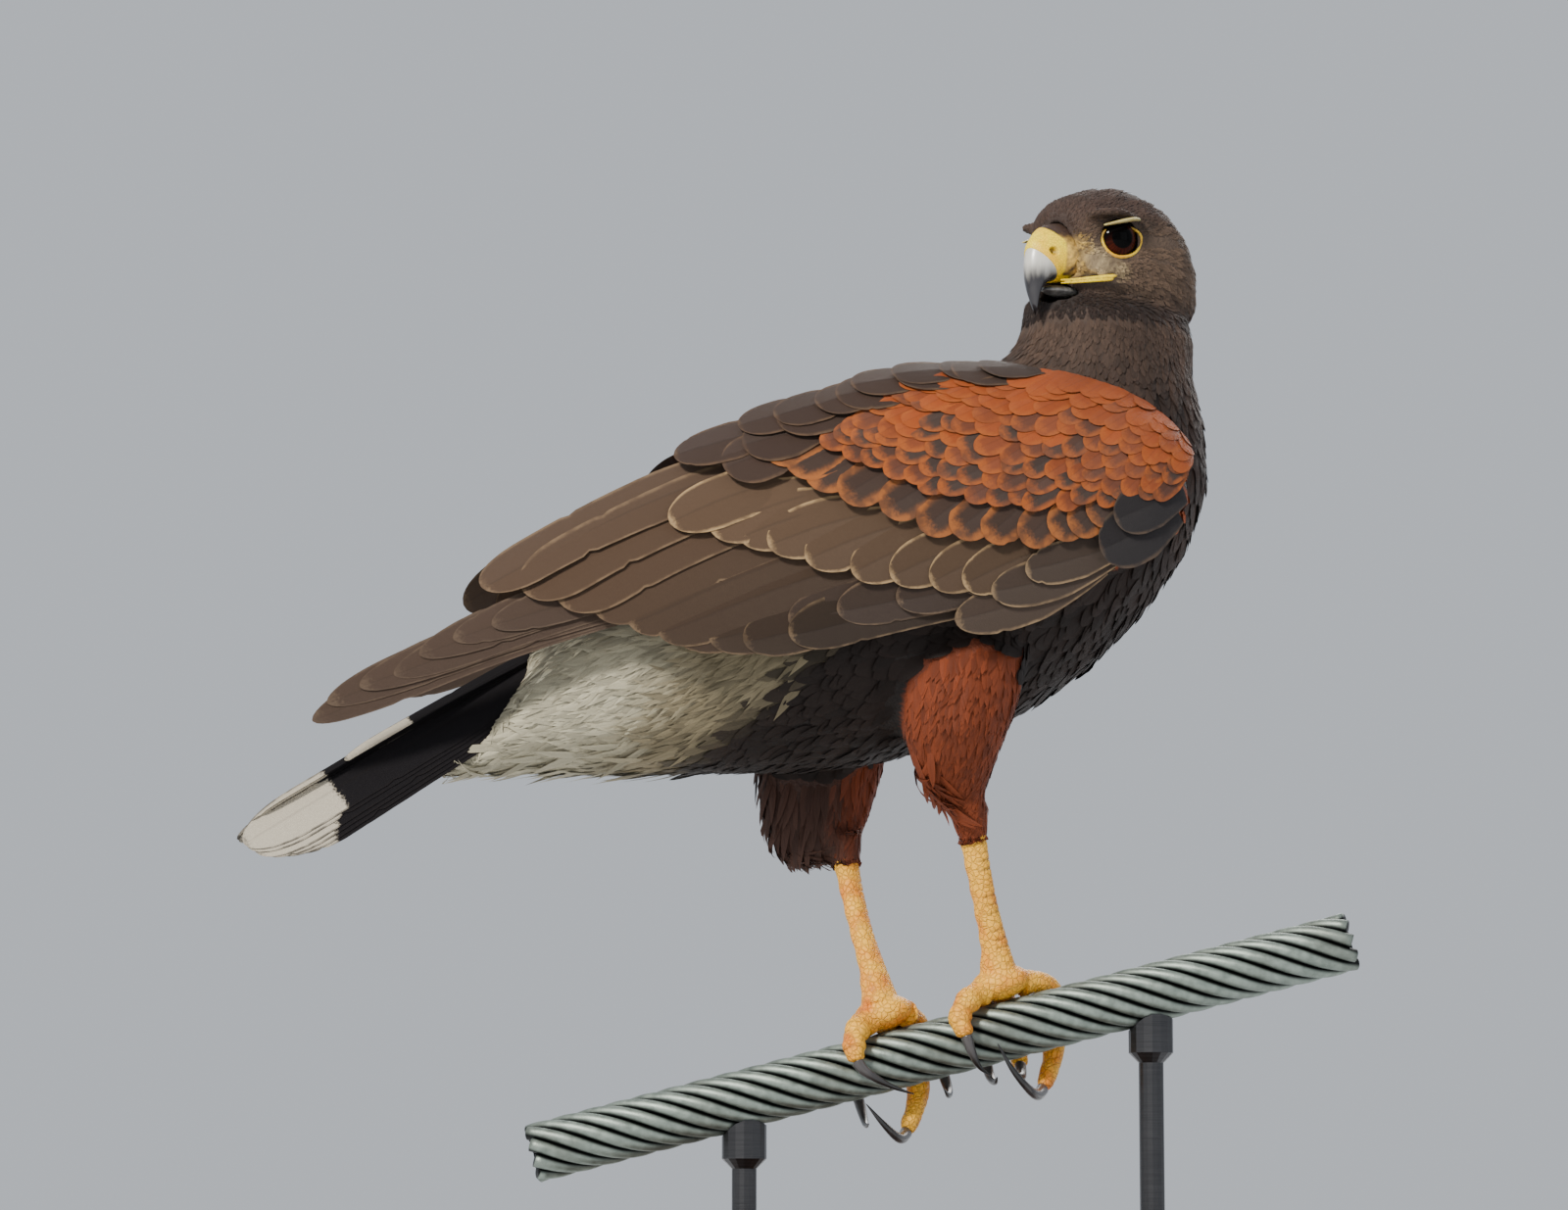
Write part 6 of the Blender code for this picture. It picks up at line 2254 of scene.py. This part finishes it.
    def lid(self, word: str, side: int) -> Thing:
        """Makes the rim of bare skin round an eye, with painted shade along its inner edge and over its top,
        under the brow.

        Args:
            word: Which eye.
            side: 1 for the left eye and -1 for the right.

        Returns:
            The lid.
        """
        place, out, ahead, up = HEAD.eye_axes(side)
        turn, sides = full_turn(72), 14
        tall = np.where(np.sin(turn) > 0, self.lid_top, self.lid_low)
        outward = np.cos(turn)[:, None] * ahead + (tall * np.sin(turn))[:, None] * up
        front, rear = self.lid_reach
        reach = self.lid_radius + np.where(np.cos(turn) > 0, front, rear) * np.cos(turn) ** 2
        centre = place + reach[:, None] * outward - out * 0.8 * (np.cos(turn) ** 2)[:, None]
        around = full_turn(sides)[None, :, None]
        thick = self.lid_thick * (1 + 0.05 * np.sin(turn * 23))[:, None, None]
        rings = centre[:, None] + thick * (np.cos(around) * outward[:, None] + np.sin(around) * out)
        faces = grid_faces(len(turn) + 1, sides, closed=True) % (len(turn) * sides)
        # painted shade: the lid's top under the brow, and its inner edge against the eye
        brow_shadow = smoothstep(0.1, 0.6, np.sin(turn) + 0.35 * np.cos(turn))[:, None]
        inner = np.maximum(smoothstep(-0.35, -0.95, np.cos(around[..., 0])), 1.3 * brow_shadow)
        piece = mesh_object(f"lid_{word}", HEAD.to_bird(rings.reshape(-1, 3)), faces[:, ::side])
        paint_points(piece, "crease", inner.ravel() * 1.3)
        return piece

    def eyes(self) -> list[Thing]:
        """Both eyeballs.

        Returns:
            The pieces.
        """
        finish = EyeFinish().material()
        made = []
        for word, side in SIDES.items():
            place, out, ahead, up = HEAD.eye_axes(side)
            angle, turn = np.linspace(0.02, math.pi - 0.02, 48), full_turn(64)
            bulge = self.eye_radius + self.cornea * np.exp(-((angle / 0.55) ** 2))
            ring = np.cos(turn)[:, None] * ahead + np.sin(turn)[:, None] * up
            centre = place - out * self.eye_sink
            rings = centre + bulge[:, None, None] * (
                np.cos(angle)[:, None, None] * out + np.sin(angle)[:, None, None] * ring)
            piece = HEAD.solid(f"eyeball_{word}", rings, centre + out * bulge[0], centre - out * bulge[-1])
            polar = np.where(angle < math.pi / 2, bulge * np.sin(angle), self.behind)
            reach = np.append(np.repeat(polar, len(turn)), [0, self.behind])
            paint_points(piece, "polar", reach)
            # painted shadow of the brow over the top of the eye
            raised = np.minimum(polar, 9.0)[:, None] * np.sin(turn + self.brow_shadow_lean)
            paint_points(piece, "brow_shadow", np.append(smoothstep(-1.5, 4.5, raised).ravel(), [0.3, 1.0]))
            around = np.append(np.tile(abs(turn / math.pi - 1.0), len(angle)), [0, 0])
            map_points(piece, "rays", np.stack([around, reach / 10], axis=-1))
            made.append(dress(piece, finish, "brown_eye", f"eye_{word}"))
        return made

    def build(self) -> list[Thing]:
        """Makes every bare part of the head."""
        return [*self.horn(), self.cere(), *self.trims(), *self.eyes()]


@dataclass
class Legs:
    """Scaly shanks, toes that grip the cable, and claws."""

    shanks: dict = field(default_factory=lambda: {
        "right": (
            (7.4, -17.6, 92), (10.4, -15.4, 76), (15.4, -11.4, 56), (20.0, -7.6, 40), (22.4, -5.4, 27),
        ),
        "left": (
            (-35.5, 24.0, 84), (-33.6, 21.0, 68), (-30.4, 14.6, 48), (-27.0, 8.8, 32), (-24.4, 4.8, 17),
        ),
    })
    shank_radii: tuple = (6.0, 5.0, 4.8, 5.7, 8.4)
    # length of a plate, and how far it stands out
    shank_plates: tuple = (3.6, 0.55)
    shank_flat: float = 0.86
    pad: tuple = (12.0, 9.4, 7.0)
    pad_lift: float = 0.3
    voxel: float = 0.6
    toe_radius: float = 4.4
    toe_taper: tuple = (1.12, 0.24)
    knuckles: float = 0.08
    toe_plates: tuple = (3.1, 0.5)
    claw_radius: float = 2.7
    claw_flat: float = 0.85
    # how dark the painted shade in the creases of shanks and toes is
    crease_share: float = 0.8
    # toe and claw as rows of turn round the cable in degrees, distance from its axis and shift along it
    toes: dict = field(default_factory=lambda: {
        "right": {
            "outer": (
                ((8, 17.4, 8.4), (26, 17.2, 16), (60, 17.0, 20), (100, 17.2, 18), (140, 21, 13),
                 (166, 27, 6)),
                ((166, 27, 6), (196, 28, 1), (226, 23, -5), (254, 18.5, -8)),
            ),
            "middle": (
                ((20, 17.4, 0), (62, 17.0, 1), (104, 17.0, 1), (146, 17.6, 0)),
                ((146, 17.6, 0), (170, 19.2, -1), (192, 18.8, -3), (210, 17.2, -4)),
            ),
            "inner": (
                ((8, 17.4, -8.6), (48, 17.2, -10), (90, 17.0, -12), (130, 17.4, -13)),
                ((130, 17.4, -13), (152, 18.8, -13), (172, 18.8, -12), (188, 17.4, -11)),
            ),
            "hind": (
                ((-14, 18.0, -8), (-36, 18.6, -15), (-60, 18.2, -20), (-86, 17.4, -19.5)),
                ((-86, 17.4, -19.5), (-106, 18.0, -19), (-128, 18.6, -17.5), (-146, 19.2, -14)),
            ),
        },
        "left": {
            "outer": (
                ((8, 17.4, -8.6), (44, 17.2, -13), (86, 17.0, -16), (128, 17.6, -18)),
                ((128, 17.6, -18), (156, 20, -18), (178, 22.5, -18), (194, 23, -17)),
            ),
            "middle": (
                ((20, 17.4, 0), (62, 17.0, 4), (104, 17.6, 8), (142, 22, 5), (168, 30, -3)),
                ((168, 30, -3), (190, 31, -7), (208, 26, -12), (222, 20, -16)),
            ),
            "inner": (
                ((8, 17.4, 8.6), (44, 17.2, 12), (88, 17.0, 16), (130, 17.6, 18)),
                ((130, 17.6, 18), (154, 19.2, 18), (176, 19, 17), (194, 17.4, 16)),
            ),
            "hind": (
                ((-14, 18.0, -7), (-36, 18.4, -12), (-60, 18.0, -15), (-82, 17.4, -15.5)),
                ((-82, 17.4, -15.5), (-98, 17.8, -13), (-120, 18.6, -6), (-142, 19.4, 3)),
            ),
        },
    })

    @staticmethod
    def perch_axes() -> tuple[Array, Array, Array]:
        """Directions along, over and across the cable, in the bird's frame."""
        ahead, over, far = (axis @ STANCE.turn() for axis in PERCH.axes())
        return ahead, over, far

    def round_perch(self, steps: Array, start: float) -> Array:
        """Finds places round the cable.

        Args:
            steps: Rows of turn in degrees, distance from the cable's axis and shift along it.
            start: Where along the cable the shifts start.

        Returns:
            The places as rows.
        """
        ahead, over, far = self.perch_axes()
        turn, distance, shift = steps.T[..., None]
        angle = np.radians(turn)
        return ahead * (start + shift) + distance * (np.cos(angle) * over + np.sin(angle) * far)

    @staticmethod
    def scuted(path: Array, radii: Array, sides: int, plates: tuple, up: Array,
               flat: float = 1.0) -> tuple[Array, Array]:
        """Rings of a limb with overlapping plates along its upper side.

        Args:
            path: Middle line, finely spaced.
            radii: Radius at each place.
            sides: Points in a ring.
            plates: Length of a plate, and how far it stands out.
            up: Direction of the side with plates at the start.
            flat: Width against height.

        Returns:
            The rings, and how deep in a crease each point lies.
        """
        pitch, relief = plates
        run = np.concatenate([[0], np.cumsum(np.linalg.norm(np.diff(path, axis=0), axis=1))])
        phase = (run / pitch) % 1.0
        rings = limb_rings(path, radii, sides, flat, tuple(up))
        level = np.cos(full_turn(sides))
        upper, lower = smoothstep(0.1, 0.6, level)[None, :], smoothstep(-0.1, -0.7, level)[None, :]
        plate = np.sqrt(np.clip(1 - (2 * phase - 1) ** 4, 0, 1))[:, None] * upper
        joint = (0.5 + 0.5 * np.cos(run / pitch * 0.72 * math.pi))[:, None] * lower
        height = relief * (plate - 0.5 * upper) + relief * 0.8 * joint
        # painted shade in the gaps between plates
        crease = smoothstep(0.75, 1.0, abs(2 * phase - 1))[:, None] * upper
        return rings + unit(rings - path[:, None]) * height[..., None], crease

    def build(self) -> list[Thing]:
        """Makes both legs.

        Returns:
            The pieces.
        """
        hide = HideFinish("leg skin", (255, 188, 54), (226, 128, 36), 430.0, 0.45, 0.8).material()
        horn = HornFinish("claw horn", (66, 62, 62), (20, 19, 20), 0.3).material()
        ahead = self.perch_axes()[0]
        made = []
        for word, knots in self.shanks.items():
            start = float(np.asarray(knots[-1]) @ ahead)
            shank, crease = self.shank(knots, SIDES[word])
            forms, creases = [shank, self.foot_pad(start)], [crease]
            creases.append(np.zeros(len(forms[-1].data.vertices)))
            for toe, (bones, nail) in self.toes[word].items():
                skin, crease, claw = self.toe(f"{toe}_{word}", bones, nail, start)
                forms.append(skin)
                creases.append(crease)
                made.append(dress(claw, horn, "black_claw", f"claw_{toe}_{word}"))
            leg = fuse(f"leg_skin_{word}", forms, creases, self.voxel)
            toes = (f"toe_{toe}_{word}" for toe in self.toes[word])
            made.append(dress(leg, hide, "yellow_leg", f"shank_{word}", *toes))
        return made

    def shank(self, knots: tuple, side: int) -> tuple[Thing, Array]:
        """Makes a shank.

        Args:
            knots: Places that its middle line passes through.
            side: 1 for the left leg and -1 for the right.

        Returns:
            The shank and its creases.
        """
        path = spline(knots, 90)
        radii = spline(np.array(self.shank_radii)[:, None], 90)[:, 0]
        facing = np.array([0.8, 0.6 * side, 0.0])
        rings, crease = self.scuted(path, radii, 32, self.shank_plates, facing, self.shank_flat)
        made = ring_solid("shank", rings, end=rings[-1].mean(axis=0) - (0, 0, 3))
        return made, np.append(crease.ravel() * self.crease_share, [0, 0])

    def foot_pad(self, start: float) -> Thing:
        """Makes the ball of a foot at a place along the cable.

        Args:
            start: The foot's place along the cable.

        Returns:
            The form.
        """
        long, wide, tall = self.pad
        ahead, over, far = self.perch_axes()
        middle = over * (PERCH.radius + tall + self.pad_lift) + ahead * start
        turn = full_turn(40)[:, None]
        angle = np.linspace(0.05, math.pi - 0.05, 26)[:, None, None]
        ring = np.cos(turn) * ahead * long + np.sin(turn) * far * wide
        ball = np.cos(angle) * over * tall + np.sin(angle) * ring
        return ring_solid("pad", middle + ball, middle + over * tall, middle - over * tall)

    def toe(self, name: str, bones: tuple, nail: tuple, start: float) -> tuple[Thing, Array, Thing]:
        """Makes one toe and its claw.

        Args:
            name: Which toe of which foot.
            bones: Steps of the toe round the cable.
            nail: Steps of the claw round the cable.
            start: The foot's place along the cable.

        Returns:
            The toe, its creases and the claw.
        """
        path = self.round_perch(spline(bones, 80), start)
        ahead = self.perch_axes()[0]
        radial = path[0] - ahead * (path[0] @ ahead)
        share = np.linspace(0, 1, 80)
        root, taper = self.toe_taper
        thick = self.toe_radius * (root - taper * share)
        thick = thick * (1 + self.knuckles * np.cos(6 * math.pi * share)) * np.sqrt(1.04 - share**16)
        rings, crease = self.scuted(path, thick, 24, self.toe_plates, radial)
        skin = ring_solid("toe", rings, path[0], path[-1] + (path[-1] - path[-4]))
        path = self.round_perch(spline(nail, 40), start)
        share, sides = np.linspace(0, 1, 40), 20
        radii = self.claw_radius * (1 - 0.9 * share**1.3)
        rings = limb_rings(path, radii, sides, self.claw_flat, tuple(radial))
        claw = ring_solid(f"talon_{name}", rings, path[0] * 2 - path[3], path[-1] * 2 - path[-2])
        paint_points(claw, "way", np.append(np.repeat(share, sides), [0.0, 1.0]))
        return skin, np.append(crease.ravel() * self.crease_share, [0, 0]), claw


@dataclass
class Cable:
    """A cut length of steel cable: round wires laid right-handed round a core."""

    length: float = 340.0
    wires: int = 9
    core_wires: int = 6
    core_swell: float = 1.05
    pitch: float = 100.0
    sides: int = 20
    steps: int = 150

    def shells(self) -> tuple:
        """Layers of wires: radius of the layer, number of wires, turns for each pitch and wire radius.

        Returns:
            The outer wires, the wires of the core and the wire in the middle.
        """
        lean = math.atan(1.54 * math.pi * PERCH.radius / self.pitch)
        share = math.sin(math.pi / self.wires) * math.cos(lean)
        thick = PERCH.radius * share / (1 + share)
        ring = PERCH.radius - thick
        fine = (ring - thick) / 3
        core = (2 * fine, self.core_wires, 0.0, fine * self.core_swell)
        return (ring, self.wires, 1.0, thick), core, (0.0, 1, 0.0, fine)

    def build(self) -> Thing:
        """Makes the wires and the core as one mesh.

        Returns:
            The cable.
        """
        ahead, over, far = PERCH.axes()
        centre = np.array([0.0, 0.0, STANCE.height])
        wires = []
        for reach, count, lay, radius in self.shells():
            run = np.linspace(-self.length / 2, self.length / 2, self.steps if lay else 4)[:, None]
            for k in range(count):
                turn = 2 * math.pi * (k / count - lay * run / self.pitch)
                middle = centre + ahead * run + reach * (np.cos(turn) * over + np.sin(turn) * far)
                rings = limb_rings(middle, [radius] * len(run), self.sides, up=tuple(over))
                wires.append(ring_form(rings))
        points, faces = gather(wires)
        made = mesh_object("twisted_cable", points, faces, in_base=True)
        # depth towards the cable's axis, for the painted shade in the grooves
        away = np.linalg.norm((points - centre) @ np.array([over, far]).T, axis=1)
        paint_points(made, "groove", PERCH.radius - away)
        return dress(made, WireFinish().material(), "zinc_steel", "perch_cable")


@dataclass
class DisplayStand:
    """The plain base and the two rods with saddles that hold the cable."""

    def build(self) -> list[Thing]:
        """Gives the stand's own solids their finishes.

        Returns:
            The solids.
        """
        wood, metal = WoodFinish().material(), MetalFinish().material()
        made = []
        for name, look in (("stand_base", wood), ("stand_rod_low", metal), ("stand_rod_high", metal)):
            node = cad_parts[name]
            node.data.materials.clear()
            node.data.materials.append(look)
            made.append(node)
        return made


@dataclass
class Studio:
    """Pale floor, soft light and the camera at the photograph's place."""

    camera_at: tuple = (-0.064, -1.98289, 0.04097)
    looks_at: tuple = (-0.064, 0.0, 0.30202)
    lens: float = 112.5
    film_width: float = 36.0
    bird_at: tuple = (-0.03, 0.0, 0.28)
    # name, place and width in metres, power in watts and colour
    lamps: tuple = (
        ("key", (-1.5, -2.2, 2.1), 0.5, 150.0, (1.0, 0.96, 0.89)),
        ("fill", (1.7, -1.4, 0.9), 1.6, 6.0, (0.94, 0.97, 1.0)),
        ("rim", (0.6, 1.6, 1.4), 1.2, 26.0, (1.0, 0.98, 0.95)),
    )
    sky: tuple = (0.80, 0.85, 0.92, 1.0)
    sky_strength: float = 0.68
    floor_reach: float = 30000.0

    def lamp(self, name: str, at: tuple, size: float, power: float, colour: tuple) -> None:
        """Adds a soft square light that faces the bird.

        Args:
            name: The lamp's name.
            at: Its place in metres.
            size: Its width in metres.
            power: Its power in watts.
            colour: Its colour.
        """
        data = bpy.data.lights.new(name, "AREA")
        data.size = size
        data.energy = power
        data.color = colour
        self.place(bpy.data.objects.new(name, data), at, self.bird_at)

    @staticmethod
    def place(thing: Thing, at: tuple, towards: tuple) -> None:
        """Puts a lamp or the camera at a place, facing another.

        Args:
            thing: The lamp or camera.
            at: Its place in metres.
            towards: The place that it faces.
        """
        thing.location = at
        thing.rotation_euler = (Vector(at) - Vector(towards)).to_track_quat("Z", "Y").to_euler()
        bpy.context.scene.collection.objects.link(thing)

    def build(self) -> None:
        """Sets floor, lights, world and camera."""
        signs = np.array([(-1, -1, 0), (1, -1, 0), (1, 1, 0), (-1, 1, 0)])
        floor = mesh_object("floor", signs * self.floor_reach, np.array([[0, 1, 2, 3]]), in_base=True)
        floor.data.materials.append(FloorFinish().material())
        for lamp in self.lamps:
            self.lamp(*lamp)
        world = bpy.data.worlds.new("sky")
        world.use_nodes = True
        world.node_tree.nodes["Background"].inputs[0].default_value = self.sky
        world.node_tree.nodes["Background"].inputs[1].default_value = self.sky_strength
        bpy.context.scene.world = world
        data = bpy.data.cameras.new("camera")
        data.lens = self.lens
        data.sensor_width = self.film_width
        data.sensor_fit = "HORIZONTAL"
        data.clip_end = 100.0
        camera = bpy.data.objects.new("camera", data)
        self.place(camera, self.camera_at, self.looks_at)
        bpy.context.scene.camera = camera


def main() -> None:
    """Builds the sub-assemblies in order and reports each piece."""
    logging.basicConfig(level=logging.INFO, format="%(name)s: %(message)s")
    skin = Skin()
    hide = skin.build()
    label = skin.parts(skin.points)
    paint_points(hide, "pigment", MARKINGS.pigment(skin.points, label))
    dress(hide, SkinFinish().material(), "brown_plumage", *skin.flesh)
    pieces = [hide, *Coat(skin).build(), *Wings().build(), *Tail().build(), *Face().build(),
              *Legs().build(), Cable().build(), *DisplayStand().build()]
    Studio().build()
    for piece in pieces:
        log.info("%s: %d faces", piece.name, len(piece.data.polygons))


if __name__ == "__main__":
    main()
